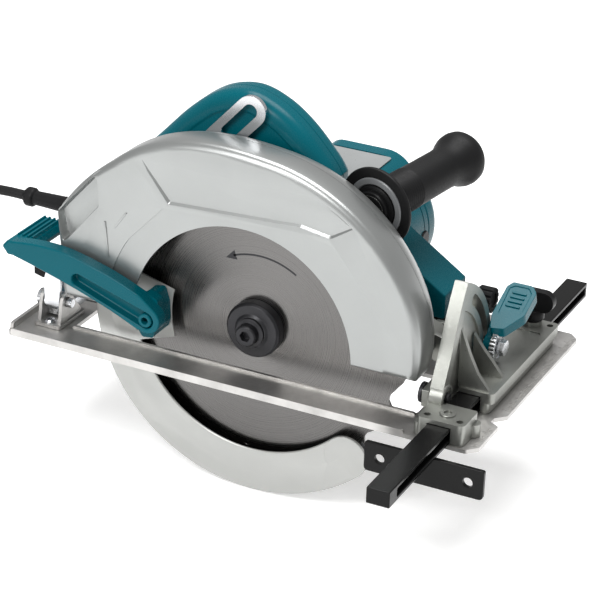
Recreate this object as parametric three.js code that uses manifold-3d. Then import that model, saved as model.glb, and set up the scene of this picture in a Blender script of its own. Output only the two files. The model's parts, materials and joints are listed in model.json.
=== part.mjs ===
// Circular saw for a 270 mm blade, mains powered, with a parallel fence and a tilting base.
// Millimetres. +X is the direction of cut, +Y runs from the blade to the motor, +Z is up.
// The origin is on the sole's underside, in the plane of the blade, in front of the base window.
import * as THREE from 'three';
import { mergeVertices } from 'three/addons/utils/BufferGeometryUtils.js';
import Module from 'manifold-3d';

const wasm = await Module();
wasm.setup();

// ---------------------------------------------------------------- driving dimensions
const ARBOR = new THREE.Vector3(-185, 0, 35);
const SOLE = -ARBOR.z;
const GAP = 0.3;
const DEG = Math.PI / 180;

const BLADE = { radius: 135, bore: 15, thickness: 2.2, teeth: 18 };
const FLANGE = { radius: 24, inner: [1.4, 6], hubRadius: 16, hubEnd: 9.5 };
const SPINDLE = { radius: 10, start: -11, end: 44 };

const CASE = { radius: 160, wall: 3.2, near: -35, far: 16, split: -8, opening: 98, bottom: 2 };
const CHUTE = { radius: 185, angle: 156, rise: 175, riseStart: 82, riseEnd: 132, rear: 163 };
const JOURNAL = { inner: 22, outer: 30.5, start: 8, end: 26 };

const GUARD = { radius: 146, wall: 2.2, near: -11.3, far: 10, inner: 108, tip: -43, tail: -195 };
const LEVER = { near: -50, far: -37.5, tabFar: 7 };

const GEARS = { module: 1.4, driveTeeth: 41, pinionTeeth: 9, direction: 60, near: 27, far: 36 };
const CENTRES = (GEARS.module * (GEARS.driveTeeth + GEARS.pinionTeeth)) / 2;
const MOTOR_X = CENTRES * Math.cos(GEARS.direction * DEG);
const MOTOR_Z = CENTRES * Math.sin(GEARS.direction * DEG);
const HOUSING = { x: 20, z: 34, radius: 54, start: 60.3, end: 170, cover: 194, crown: 101 };
// Levels of Y along the motor's axis.
const ROTOR = {
  core: [80, 150], stator: [82, 148], commutator: [153, 168], brushes: [156, 164], rearBearing: [178.4, 186],
};
const BRUSH_Y = (ROTOR.brushes[0] + ROTOR.brushes[1]) / 2;
const GEARBOX = { start: 16.3, step: 44.5, end: 60 };

const HANDLE = { near: 21, middle: 40.5, far: 60 };
const GRIP = { start: [86, 25.6, 113], end: [111, 151, 119], flange: 33 };

const gripDirection = new THREE.Vector3(...GRIP.end).sub(new THREE.Vector3(...GRIP.start)).normalize().toArray();

const BASE = { rear: -205, front: 214, near: -55, far: 175, thickness: 3.5 };
const BASE_TOP = SOLE + BASE.thickness;
const WINDOW = { rear: -160, front: 150, near: -21, far: 47 };
const BEVEL = { y: -18, z: -12, slot: 80, outer: 91, rest: 81, travel: 45 };
const QUADRANT = { rear: 162, front: 173 };
const DEPTH = { x: 140, z: 10, guide: 300, clampZ: -12, travel: 15.5 };
const CLAMP_X = DEPTH.x - Math.sqrt(DEPTH.guide ** 2 - (DEPTH.z - DEPTH.clampZ) ** 2);
const FENCE = { x: 182.5, width: 19, top: -17.7, near: -165, far: 249, plateY: -78 };

const LOCK = { x: -18.6, z: -5.6 };
const CORD = { radius: 4.25, floor: -146 };
const COIL = { x: -390, y: -40, inner: 29.1, outer: 63.9, height: 17.6 };
const PLUG = { width: 36, thickness: 26, sleeve: 14, length: 36, pin: 19, pinSpacing: 19 };
const RELIEF = { at: [-172, HANDLE.middle, 46], direction: [-1, 0, 0] };

// ---------------------------------------------------------------- solids
function signedVolume(positions, triangles) {
  let volume = 0;
  const [a, b, c] = [new THREE.Vector3(), new THREE.Vector3(), new THREE.Vector3()];
  for (let i = 0; i < triangles.length; i += 3) {
    a.fromArray(positions, 3 * triangles[i]);
    b.fromArray(positions, 3 * triangles[i + 1]);
    c.fromArray(positions, 3 * triangles[i + 2]);
    volume += a.dot(b.cross(c));
  }
  return volume;
}

// A closed geometry as a solid that can be joined and cut.
function solid(geometry) {
  const bare = geometry.clone();
  bare.deleteAttribute('normal');
  bare.deleteAttribute('uv');
  const merged = mergeVertices(bare, 1e-4);
  const positions = merged.attributes.position.array;
  const index = merged.index.array;
  const triangles = [];
  for (let i = 0; i < index.length; i += 3) {
    const [a, b, c] = [index[i], index[i + 1], index[i + 2]];
    if (a !== b && b !== c && c !== a) triangles.push(a, b, c);
  }
  if (signedVolume(positions, triangles) < 0) triangles.reverse();
  const mesh = new wasm.Mesh({
    numProp: 3,
    vertProperties: new Float32Array(positions),
    triVerts: new Uint32Array(triangles),
  });
  mesh.merge();
  return new wasm.Manifold(mesh);
}

function toGeometry(body) {
  const mesh = body.getMesh();
  const geometry = new THREE.BufferGeometry();
  geometry.setAttribute('position', new THREE.BufferAttribute(new Float32Array(mesh.vertProperties), 3));
  geometry.setIndex(new THREE.BufferAttribute(new Uint32Array(mesh.triVerts), 1));
  geometry.computeVertexNormals();
  return geometry;
}

const join = (first, ...others) => others.reduce((sum, next) => sum.add(next), first);
const cut = (first, ...others) => others.reduce((rest, next) => rest.subtract(next), first);

// An outline in X and Z, filled between two levels of Y.
function prismY(shape, start, end, segments = 12, bevel = 0, inset = bevel) {
  const geometry = new THREE.ExtrudeGeometry(shape, {
    depth: end - start - 2 * bevel, curveSegments: segments, steps: 1, bevelEnabled: bevel > 0,
    bevelThickness: bevel, bevelSize: inset, bevelOffset: -inset, bevelSegments: 1,
  });
  geometry.rotateX(Math.PI / 2);
  geometry.translate(0, end - bevel, 0);
  return solid(geometry);
}

// An outline in Y and Z, filled between two levels of X.
function prismX(shape, start, end, segments = 12) {
  const geometry = new THREE.ExtrudeGeometry(shape, {
    depth: end - start, curveSegments: segments, steps: 1, bevelEnabled: false,
  });
  geometry.applyMatrix4(new THREE.Matrix4().set(0, 0, 1, 0, 1, 0, 0, 0, 0, 1, 0, 0, 0, 0, 0, 1));
  geometry.translate(start, 0, 0);
  return solid(geometry);
}

// An outline in X and Y, filled between two levels of Z.
function prismZ(shape, start, end, segments = 8) {
  const geometry = new THREE.ExtrudeGeometry(shape, {
    depth: end - start, curveSegments: segments, steps: 1, bevelEnabled: false,
  });
  geometry.translate(0, 0, start);
  return solid(geometry);
}

function box(x, y, z) {
  const geometry = new THREE.BoxGeometry(x[1] - x[0], y[1] - y[0], z[1] - z[0]);
  geometry.translate((x[0] + x[1]) / 2, (y[0] + y[1]) / 2, (z[0] + z[1]) / 2);
  return solid(geometry);
}

// A profile of [radius, height] pairs turned about the line from a point along a direction.
function turned(profile, origin, direction, segments = 28) {
  const points = profile.map(([radius, height]) => new THREE.Vector2(radius, height));
  const geometry = new THREE.LatheGeometry(points, segments);
  const turn = new THREE.Quaternion().setFromUnitVectors(
    new THREE.Vector3(0, 1, 0), new THREE.Vector3(...direction).normalize());
  geometry.applyQuaternion(turn);
  geometry.translate(...origin);
  return solid(geometry);
}

const AXES = { x: [1, 0, 0], y: [0, 1, 0], z: [0, 0, 1] };

// A rod along an axis, from start to end on that axis, through the other two coordinates.
function rod(axis, place, start, end, radius, segments = 20) {
  const origin = { x: [start, ...place], y: [place[0], start, place[1]], z: [...place, start] }[axis];
  const length = end - start;
  return turned([[0, 0], [radius, 0], [radius, length], [0, length]], origin, AXES[axis], segments);
}

function tube(axis, place, start, end, inner, outer, segments = 28) {
  return cut(rod(axis, place, start, end, outer, segments),
    rod(axis, place, start - 1, end + 1, inner, segments));
}

// ---------------------------------------------------------------- outlines
function polygon(points) {
  const shape = new THREE.Shape();
  points.forEach(([x, y], i) => (i ? shape.lineTo(x, y) : shape.moveTo(x, y)));
  shape.closePath();
  return shape;
}

function disc(x, y, radius) {
  const shape = new THREE.Shape();
  shape.absarc(x, y, radius, 0, 2 * Math.PI, false);
  return shape;
}

// A slot with round ends: a stretch of ring between two angles, measured from +X, in degrees.
function ringSlot(x, y, radius, halfWidth, startAngle, endAngle) {
  const [a, b] = [startAngle * DEG, endAngle * DEG];
  const shape = new THREE.Shape();
  shape.absarc(x, y, radius + halfWidth, a, b, false);
  shape.absarc(x + radius * Math.cos(b), y + radius * Math.sin(b), halfWidth, b, b + Math.PI, false);
  shape.absarc(x, y, radius - halfWidth, b, a, true);
  shape.absarc(x + radius * Math.cos(a), y + radius * Math.sin(a), halfWidth, a + Math.PI, a + 2 * Math.PI, false);
  return shape;
}

function stadium(x0, y0, x1, y1, radius) {
  const angle = Math.atan2(y1 - y0, x1 - x0);
  const shape = new THREE.Shape();
  shape.absarc(x1, y1, radius, angle - Math.PI / 2, angle + Math.PI / 2, false);
  shape.absarc(x0, y0, radius, angle + Math.PI / 2, angle + 1.5 * Math.PI, false);
  return shape;
}

// ---------------------------------------------------------------- blade case
// The case follows the blade at the front, opens out towards the rear and ends in the chip outlet.
function caseRadius(angle) {
  const frontEase = Math.max(0, 1 - angle / 24);
  if (angle <= CHUTE.riseStart) return CASE.radius - 8 * frontEase ** 2;
  if (angle <= CHUTE.riseEnd) {
    const t = (angle - CHUTE.riseStart) / (CHUTE.riseEnd - CHUTE.riseStart);
    return CASE.radius + (CHUTE.rise - CASE.radius) * t * t * (3 - 2 * t);
  }
  const t = (angle - CHUTE.riseEnd) / (CHUTE.angle - CHUTE.riseEnd);
  return CHUTE.rise + (CHUTE.radius - CHUTE.rise) * t;
}

function caseOutline(inset, bottom) {
  const points = [[caseRadius(0) - inset, bottom]];
  for (let angle = 6; angle <= CHUTE.angle; angle += 6) {
    const radius = caseRadius(angle) - inset;
    points.push([radius * Math.cos(angle * DEG), radius * Math.sin(angle * DEG)]);
  }
  points.push([inset - CHUTE.rear, bottom]);
  return polygon(points);
}

// The near half has parallel walls; the far half narrows towards the motor.
function caseShell(taperStart, taper) {
  const depth = taper ? CASE.far - taperStart : 6;
  const outer = prismY(caseOutline(0, CASE.bottom), CASE.near - (taper ? depth : 0), CASE.far, 8, depth, taper || 6);
  const inner = prismY(caseOutline(CASE.wall, -80), CASE.near + CASE.wall - (taper ? depth : 0), CASE.far - 3, 8,
    taper ? depth - 3 : 4, taper || 4);
  return cut(outer, inner);
}

function caseCover() {
  const farHalf = box([-220, 220], [CASE.split - GAP, 60], [-100, 220]);
  return cut(caseShell(0, 0), farHalf, rod('y', [0, 0], CASE.near - 5, CASE.near + 12, CASE.opening, 44));
}

function bladeCase() {
  const nearHalf = box([-220, 220], [-60, CASE.split], [-100, 220]);
  const hubPlate = prismY(disc(0, 0, 33), CASE.far - 3, CASE.far, 10);
  const clampLug = prismY(stadium(CLAMP_X, DEPTH.clampZ, CLAMP_X + 8, 24, 10), CASE.far - 2.8, CASE.far - 0.2, 6);
  const journal = rod('y', [0, 0], JOURNAL.start, JOURNAL.end, JOURNAL.outer, 24);
  return cut(join(cut(caseShell(CASE.split, 8), nearHalf), hubPlate, clampLug, journal),
    rod('y', [0, 0], 0, JOURNAL.end + 1, JOURNAL.inner, 24),
    rod('y', [CLAMP_X, DEPTH.clampZ], 0, CASE.far + 1, 4.4, 12));
}

// ---------------------------------------------------------------- gear housing and motor
function gearHousing() {
  const lower = prismY(disc(0, 0, 34.2), GEARBOX.start, GEARBOX.step, 9);
  const web = prismY(polygon([[-34, 0], [34, 0], [52, 20], [-22, 50]]), GEARBOX.start, GEARBOX.step);
  const upper = prismY(disc(MOTOR_X, MOTOR_Z, 50), GEARBOX.start, GEARBOX.end, 9);
  const arm = prismY(polygon([[50, 20], [104, 104], [70, 124], [10, 70]]), GEARBOX.start, GEARBOX.start + 3.4);
  const gripBoss = turned([[0, -5.8], [12, -5.8], [12, -0.6], [0, -0.6]], GRIP.start, gripDirection, 24);
  const gripHole = turned([[0, -40], [4.5, -40], [4.5, 20], [0, 20]], GRIP.start, gripDirection, 12);
  const lug = prismY(polygon([[30, -6], [DEPTH.x - 8, -1], [DEPTH.x + 4, 4], [DEPTH.x + 10, 10],
    [DEPTH.x + 4, 18], [DEPTH.x - 6, 22], [60, 40], [30, 40]]), 26.3, 42);
  const cavity = prismY(disc(0, 0, 31.4), GEARBOX.start - 1, 37.4, 9);
  const pinionCavity = prismY(disc(MOTOR_X, MOTOR_Z, 17), GEARBOX.start - 1, 37.4, 7);
  const cavityLink = prismY(polygon([[-10, 12], [20, -6], [MOTOR_X + 14, MOTOR_Z - 8], [MOTOR_X - 16, MOTOR_Z + 4]]),
    GEARBOX.start - 1, 37.4);
  const body = join(lower, web, upper, arm, gripBoss, lug);
  return cut(body, cavity, pinionCavity, cavityLink,
    rod('y', [0, 0], 37, 43.5, 13.3, 24),
    rod('y', [MOTOR_X, MOTOR_Z], 37, GEARBOX.end + 1, 13.3, 24),
    gripHole,
    rod('y', [DEPTH.x, DEPTH.z], 20, 60, 4.4, 12),
    rod('y', [LOCK.x, LOCK.z], 30, GEARBOX.end + 1, 4.3, 12),
    rod('y', [LOCK.x, LOCK.z], GEARBOX.step - 3, GEARBOX.end + 1, 6.4, 14));
}

const housingOutline = (inset) => {
  const top = new THREE.Shape();
  const [left, right, crown, corner] = [-22 + inset, 60 - inset, HOUSING.crown - inset, 14];
  top.moveTo(left, 34);
  top.lineTo(left, crown - corner);
  top.absarc(left + corner, crown - corner, corner, Math.PI, Math.PI / 2, true);
  top.absarc(right - corner * 2, crown - corner * 2, corner * 2, Math.PI / 2, 0, true);
  top.lineTo(right, 34);
  top.closePath();
  return top;
};

function motorHousing() {
  const barrel = rod('y', [HOUSING.x, HOUSING.z], HOUSING.start, HOUSING.end, HOUSING.radius, 28);
  const crown = prismY(housingOutline(0), HOUSING.start + 8, HOUSING.end, 5);
  const bore = rod('y', [MOTOR_X, MOTOR_Z], HOUSING.start - 1, HOUSING.end + 1, 45.6, 26);
  return cut(join(barrel, crown), bore,
    rod('x', [BRUSH_Y, MOTOR_Z], -60, 120, 8.4, 14));
}

function motorEndCover() {
  const length = HOUSING.cover - HOUSING.end - GAP;
  const cup = turned([[0, 0], [HOUSING.radius, 0], [HOUSING.radius, length - 12],
    [HOUSING.radius - 4, length - 4], [HOUSING.radius - 12, length], [0, length]],
  [HOUSING.x, HOUSING.end + GAP, HOUSING.z], AXES.y, 28);
  const [bearingStart, bearingEnd] = ROTOR.rearBearing;
  return cut(cup, rod('y', [MOTOR_X, MOTOR_Z], HOUSING.end, bearingStart - 0.4, 38, 20),
    rod('y', [MOTOR_X, MOTOR_Z], bearingStart - 6, bearingEnd + 0.5, 11.3, 20));
}

// A spur gear's outline with involute flanks, its first tooth on the +X side of its centre.
function gearOutline(teeth, phase, x, y, slack, inner) {
  const pitch = (GEARS.module * teeth) / 2;
  const base = pitch * Math.cos(20 * DEG);
  const tip = pitch + GEARS.module * 0.92;
  const root = pitch - GEARS.module * 1.2;
  const involute = (radius) => {
    const angle = Math.acos(Math.min(1, base / radius));
    return Math.tan(angle) - angle;
  };
  const half = (radius) => Math.PI / (2 * teeth) - slack / pitch + involute(pitch) - involute(Math.max(radius, base));
  const points = [];
  for (let tooth = 0; tooth < teeth; tooth += 1) {
    const middle = phase * DEG + (tooth * 2 * Math.PI) / teeth;
    const flank = [[root, -half(root)], [tip, -half(tip)], [tip, half(tip)], [root, half(root)]];
    for (const [radius, angle] of flank) {
      points.push([x + radius * Math.cos(middle + angle), y + radius * Math.sin(middle + angle)]);
    }
  }
  const shape = polygon(points);
  if (inner) shape.holes.push(disc(x, y, inner));
  return shape;
}

function driveGear() {
  const gear = prismY(gearOutline(GEARS.driveTeeth, GEARS.direction, 0, 0, 0.1, SPINDLE.radius + GAP),
    GEARS.near, GEARS.far, 10);
  return cut(gear, tube('y', [0, 0], GEARS.far - 3.2, GEARS.far + 1, 15, 24, 24));
}

function armatureShaft() {
  const [shoulder, end] = [ROTOR.rearBearing[0] - 6.4, ROTOR.rearBearing[1] - 2];
  const shaft = turned([[0, 26.4], [5, 26.4], [5, 46], [6, 46], [6, shoulder], [5, shoulder], [5, end], [0, end]],
    [MOTOR_X, 0, MOTOR_Z], AXES.y, 16);
  const halfTooth = 180 / GEARS.pinionTeeth;
  const pinion = prismY(gearOutline(GEARS.pinionTeeth, GEARS.direction + 180 + halfTooth, MOTOR_X, MOTOR_Z, 0.1, 0),
    GEARS.near - 0.6, GEARS.far + 1);
  return join(shaft, pinion);
}

function fan() {
  const hub = rod('y', [MOTOR_X, MOTOR_Z], 64, 76, 12, 20);
  const plate = rod('y', [MOTOR_X, MOTOR_Z], 73.5, 76, 42, 32);
  const blades = [];
  for (let i = 0; i < 9; i += 1) {
    const geometry = new THREE.BoxGeometry(33, 10, 1.6);
    geometry.translate(24.5, 69, 0);
    geometry.rotateY((i * 2 * Math.PI) / 9);
    geometry.translate(MOTOR_X, 0, MOTOR_Z);
    blades.push(solid(geometry));
  }
  return cut(join(hub, plate, ...blades), rod('y', [MOTOR_X, MOTOR_Z], 60, 80, 6 + GAP, 16));
}

function brush(side) {
  const x = [MOTOR_X + side * 15.4, MOTOR_X + side * 31].sort((a, b) => a - b);
  return box(x, ROTOR.brushes, [MOTOR_Z - 3.5, MOTOR_Z + 3.5]);
}

function brushCap(side, wallX) {
  const from = MOTOR_X + side * 31.4;
  const length = Math.abs(wallX - from) + 1.5;
  return turned([[0, 0], [5.5, 0], [5.5, length - 5], [7.9, length - 5], [7.9, length], [0, length]],
    [from, BRUSH_Y, MOTOR_Z], [side, 0, 0], 14);
}

function spindle() {
  const { radius, start, end } = SPINDLE;
  const shaft = turned([[0, start], [radius, start], [radius, 37], [6, 37], [6, end - 0.8], [0, end - 0.8]],
    [0, 0, 0], AXES.y, 24);
  return cut(shaft, rod('y', [0, 0], start - 1, 10, 5.3, 14));
}

function innerFlange() {
  return cut(turned([[0, -1], [BLADE.bore - GAP, -1], [BLADE.bore - GAP, FLANGE.inner[0]],
    [FLANGE.radius, FLANGE.inner[0]], [FLANGE.radius, FLANGE.inner[1]], [FLANGE.hubRadius, FLANGE.inner[1]],
    [FLANGE.hubRadius, FLANGE.hubEnd], [0, FLANGE.hubEnd]], [0, 0, 0], AXES.y, 22),
  rod('y', [0, 0], -5, 12, SPINDLE.radius + GAP, 18));
}

function outerFlange() {
  const blank = turned([[0, -14], [13, -14], [15, -12], [22, -12], [FLANGE.radius, -9.5], [FLANGE.radius, -1.4],
    [0, -1.4]], [0, 0, 0], AXES.y, 24);
  return cut(blank, rod('y', [0, 0], -11.3, 0, SPINDLE.radius + GAP, 24), rod('y', [0, 0], -20, 0, 5.3, 14));
}

function hexagon(x, y, radius) {
  const points = [];
  for (let i = 0; i < 6; i += 1) {
    points.push([x + radius * Math.cos(i * 60 * DEG), y + radius * Math.sin(i * 60 * DEG)]);
  }
  return polygon(points);
}

function bladeBolt() {
  const head = turned([[0, -24], [8, -24], [9.2, -22.6], [9.2, -17], [12.5, -16], [12.5, -14.3], [0, -14.3]],
    [0, 0, 0], AXES.y, 24);
  const shank = rod('y', [0, 0], -16, 8, 4.9, 14);
  return cut(join(head, shank), prismY(hexagon(0, 0, 4.6), -26, -18.5));
}

function blade() {
  const points = [];
  const pitch = 360 / BLADE.teeth;
  const root = BLADE.radius - 12;
  for (let i = 0; i < BLADE.teeth; i += 1) {
    const tooth = [[0, BLADE.radius], [1.6, BLADE.radius], [7, BLADE.radius - 3.2], [pitch * 0.62, root + 3],
      [pitch * 0.82, root], [pitch * 0.96, root + 4]];
    for (const [angle, radius] of tooth) {
      const at = -(i * pitch + angle) * DEG;
      points.push([radius * Math.cos(at), radius * Math.sin(at)]);
    }
  }
  const shape = polygon(points);
  shape.holes.push(disc(0, 0, BLADE.bore));
  return prismY(shape, -BLADE.thickness / 2, BLADE.thickness / 2, 24);
}

// ---------------------------------------------------------------- lower guard
function sector(inner, outer, startAngle, endAngle) {
  const shape = new THREE.Shape();
  shape.absarc(0, 0, outer, startAngle * DEG, endAngle * DEG, true);
  shape.absarc(0, 0, inner, endAngle * DEG, startAngle * DEG, false);
  return shape;
}

function lowerGuard() {
  const { radius, wall, near, far, inner, tip, tail } = GUARD;
  const nearPlate = prismY(sector(inner, radius, tip - 4, tail), near, near + 2, 20);
  const middle = (inner + radius) / 2;
  const halfWidth = (radius - inner) / 2 - 0.05;
  const nose = prismY(disc(middle * Math.cos((tip - 4) * DEG), middle * Math.sin((tip - 4) * DEG), halfWidth),
    near, near + 2, 8);
  const leverSeat = prismY(sector(74, inner + 1, -162, tail), near, near + 2, 10);
  const rim = prismY(sector(radius - wall, radius, tip - 4, tail), near, far, 20);
  const farPlate = prismY(sector(33, radius, tip - 4, tail), far - 2, far, 20);
  const hubRing = tube('y', [0, 0], far - 2, 12.6, JOURNAL.outer + 0.5, 38, 24);
  return join(nearPlate, nose, leverSeat, rim, farPlate, hubRing);
}

function guardLever() {
  const hub = prismY(polygon([[-72, -13], [-84, -15], [-92, -4], [-93, 12], [-88, 27], [-72, 30], [-66, 10],
    [-66, -6]]), LEVER.near + 12, GUARD.near - GAP);
  const armOutline = new THREE.Shape();
  armOutline.moveTo(-66, 4);
  armOutline.absarc(-76, 5, 9, -20 * DEG, -120 * DEG, true);
  armOutline.splineThru([new THREE.Vector2(-108, 7), new THREE.Vector2(-142, 19), new THREE.Vector2(-176, 29),
    new THREE.Vector2(-208, 37)]);
  armOutline.lineTo(-211, 43);
  armOutline.lineTo(-206, 48);
  armOutline.splineThru([new THREE.Vector2(-176, 50), new THREE.Vector2(-148, 48), new THREE.Vector2(-110, 38),
    new THREE.Vector2(-72, 26)]);
  armOutline.closePath();
  const arm = prismY(armOutline, LEVER.near, LEVER.far, 6);
  const bridge = prismY(polygon([[-70, 0], [-88, 0], [-91, 24], [-72, 26]]), LEVER.far - 1, LEVER.near + 13);
  const tab = prismY(polygon([[-211, 42], [-206, 36], [-190, 36], [-188, 40], [-190, 47], [-206, 48]]),
    LEVER.near + 1, LEVER.tabFar);
  const slot = prismY(stadium(-84, 8, -136, 24, 4), LEVER.near - 1, LEVER.near + 6, 5);
  return cut(join(hub, arm, bridge, tab), slot);
}

// A flat torsion spring around the guard's hub, as its ring of wound strip.
function guardSpring() {
  return tube('y', [0, 0], 10.4, 12.6, 39.4, 41.8, 24);
}

// ---------------------------------------------------------------- handle
function handleOutline() {
  const shape = new THREE.Shape();
  shape.moveTo(51, 70);
  shape.lineTo(51, 128);
  shape.splineThru([[43, 140], [21, 163], [-2, 179], [-28, 187], [-56, 181], [-82, 162], [-112, 131], [-150, 93],
    [-176, 68], [-192, 58]].map(([x, z]) => new THREE.Vector2(x, z)));
  shape.absarc(-188, 46, 11, 125 * DEG, 250 * DEG, false);
  shape.lineTo(-178, 30);
  shape.lineTo(-120, 25);
  shape.lineTo(-60, 25);
  shape.lineTo(-28, 30);
  shape.closePath();
  return shape;
}

// The space for the fingers, between the grip and the motor.
function fingerGap() {
  return polygon([[-54, 128], [-66, 127], [-83, 113], [-134, 64], [-141, 53], [-132, 43], [-66, 43], [-50, 56],
    [-46, 116]]);
}

const TRIGGER = { x: -92, z: 112, angle: 223, length: 40 };
const BUTTON = { x: -74, z: 139, radius: 5 };

// A block in the handle's own directions: along the grip, across it towards the gap, and in Y.
function gripBlock(along, across, y) {
  const geometry = new THREE.BoxGeometry(along[1] - along[0], y[1] - y[0], across[1] - across[0]);
  geometry.translate((along[0] + along[1]) / 2, 0, (across[0] + across[1]) / 2);
  geometry.rotateY((180 - TRIGGER.angle) * DEG);
  geometry.translate(TRIGGER.x, (y[0] + y[1]) / 2, TRIGGER.z);
  return solid(geometry);
}

function gearHousingClearance() {
  return join(rod('y', [MOTOR_X, MOTOR_Z], 0, 80, 50 + 3 * GAP, 28),
    prismY(polygon([[50, 20], [104.5, 104], [70, 124.6], [9, 70]]), 0, GEARBOX.start + 8),
    turned([[0, -20], [GRIP.flange + 1, -20], [GRIP.flange + 1, 5], [19, 14], [18, 60], [0, 60]],
      GRIP.start, gripDirection, 24));
}

function handleHalf(start, end) {
  const body = prismY(handleOutline(), HANDLE.near, HANDLE.far, 5, 4);
  const otherHalf = start === HANDLE.near ? [end, 200] : [-50, start];
  const rest = box([-300, 200], otherHalf, [-50, 250]);
  const switchRoom = gripBlock([-30, 46], [-12, 14], [HANDLE.middle - 12, HANDLE.middle + 12]);
  const triggerRoom = gripBlock([-TRIGGER.length / 2 - 0.5, TRIGGER.length / 2 + 0.5], [-40, 0],
    [HANDLE.middle - 7.5, HANDLE.middle + 7.5]);
  const buttonRoom = rod('y', [BUTTON.x, BUTTON.z], HANDLE.middle + 2, HANDLE.far + 1, BUTTON.radius + 0.4, 14);
  const cordRoom = turned([[0, -50], [5, -50], [5, -1], [7.4, -1], [7.4, 5.7], [10.4, 5.7], [10.4, 9.3], [7.4, 9.3],
    [7.4, 90], [0, 90]], RELIEF.at, RELIEF.direction, 14);
  return cut(body, rest, prismY(fingerGap(), 0, 80), gearHousingClearance(), switchRoom, triggerRoom, buttonRoom,
    cordRoom);
}

function switchBody() {
  return gripBlock([-28, 44], [-9, 12], [HANDLE.middle - 10.5, HANDLE.middle + 10.5]);
}

function trigger() {
  return gripBlock([-TRIGGER.length / 2, TRIGGER.length / 2], [-30, -15], [HANDLE.middle - 7, HANDLE.middle + 7]);
}

function lockOffButton() {
  return rod('y', [BUTTON.x, BUTTON.z], HANDLE.middle + 14.8, HANDLE.far + 4, BUTTON.radius, 14);
}

// ---------------------------------------------------------------- grip, loop, nose
function sideGrip() {
  const profile = [[0, 0], [GRIP.flange, 0], [GRIP.flange, 4], [26, 6.5], [18, 12], [17, 20], [17.5, 60], [17, 92],
    [19, 104], [22.5, 112], [22, 121], [16, 127.5], [0, 129]];
  return cut(turned(profile, GRIP.start, gripDirection, 20), turned([[0, -1], [4.4, -1], [4.4, 40], [0, 40]],
    GRIP.start, gripDirection, 12));
}

function gripBolt() {
  return turned([[0, -4.5], [4, -4.5], [4, 30], [0, 30]], GRIP.start, gripDirection, 12);
}

function hangingLoop() {
  const plate = stadium(-52, 140, -20, 175, 13);
  plate.holes.push(stadium(-40, 153.5, -20.5, 175, 6));
  return cut(prismY(plate, CASE.far + GAP, CASE.far + GAP + 4, 8), rod('y', [-52, 140], 10, 25, 3.4, 12));
}

function nose(lower) {
  const outline = lower
    ? [[50, 12.7], [136, 12.7], [136, 2], [118, -14], [50, -14]]
    : [[40, 92], [66, 82], [92, 63], [136, 34], [136, 13], [40, 13]];
  return cut(prismY(polygon(outline), HOUSING.start, 104),
    rod('y', [HOUSING.x, HOUSING.z], 50, 120, HOUSING.radius + GAP, 28),
    prismY(housingOutline(-GAP), 50, 120, 5));
}

// ---------------------------------------------------------------- base, bevel and depth setting
const bevelPoint = (radius, angle) => [
  BEVEL.y + radius * Math.sin(angle * DEG), BEVEL.z + radius * Math.cos(angle * DEG)];

function basePlate() {
  const plate = polygon([[BASE.rear, BASE.near], [BASE.front - 8, BASE.near], [BASE.front, BASE.near + 8],
    [BASE.front, -8], [BASE.front - 8, -3], [BASE.front - 8, 3], [BASE.front, 12],
    [BASE.front, BASE.far - 8], [BASE.front - 8, BASE.far], [BASE.rear + 10, BASE.far], [BASE.rear, BASE.far - 10]]);
  const { rear, front, near, far } = WINDOW;
  plate.holes.push(polygon([[rear, near], [front, near], [front, far], [rear, far]]));
  const rearLip = box([BASE.rear, BASE.rear + 3], [BASE.near + 6, BASE.far - 12], [SOLE + 1, BASE_TOP + 5]);
  const nearLip = box([BASE.rear + 4, WINDOW.front + 4], [BASE.near, BASE.near + 2.5], [SOLE + 1, BASE_TOP + 3]);
  const windowLip = box([rear, front], [near - 2.5, near], [SOLE + 1, BASE_TOP + 2]);
  return join(prismZ(plate, SOLE, BASE_TOP), rearLip, nearLip, windowLip);
}

const KNOB = { y: 142, bottom: -8.5 };
const CASTING = { rear: 158, front: 203, top: -13.5, bottom: BASE_TOP + GAP };

function gusset(y, height) {
  const shape = polygon([[QUADRANT.front - 1, CASTING.top - 1], [CASTING.front - 4, CASTING.top - 1],
    [CASTING.front - 5, CASTING.top + 2], [QUADRANT.front - 1, height]]);
  return prismY(shape, y, y + 4);
}

function frontCasting() {
  const { rear, front, top, bottom } = CASTING;
  const pad = box([rear + 4, front], [6, 152], [bottom, top]);
  const nearBlock = box([rear + 6, front], [BASE.near + 1, -24], [bottom, top]);
  const rail = box([rear + 4, QUADRANT.front - 3], [-26, 24], [bottom, top]);
  const crown = [];
  for (let angle = 22; angle <= 94; angle += 6) crown.push(bevelPoint(BEVEL.outer, angle));
  const quadrant = prismX(polygon([[-32, bottom], [-31, -22], [-22, 2], [4, 58], ...crown, [74, bottom]]),
    QUADRANT.rear, QUADRANT.front);
  const slot = ringSlot(BEVEL.y, BEVEL.z, BEVEL.slot, 4.6, 90 - BEVEL.rest, 90 - BEVEL.rest + BEVEL.travel);
  const channel = box([FENCE.x - FENCE.width / 2 - 0.5, FENCE.x + FENCE.width / 2 + 0.5], [-80, 200],
    [bottom - 1, FENCE.top + 0.5]);
  const knobBoss = rod('z', [FENCE.x, KNOB.y], top - 1, top + 4, 8, 16);
  return cut(join(pad, nearBlock, rail, quadrant, gusset(8, 36), gusset(36, 20), knobBoss), channel,
    prismX(slot, QUADRANT.rear - 1, QUADRANT.front + 1, 8),
    rod('x', [BEVEL.y, BEVEL.z], QUADRANT.rear - 1, QUADRANT.front + 1, 4.4, 12),
    rod('z', [FENCE.x, KNOB.y], top - 8, top + 6, 3.4, 12));
}

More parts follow.
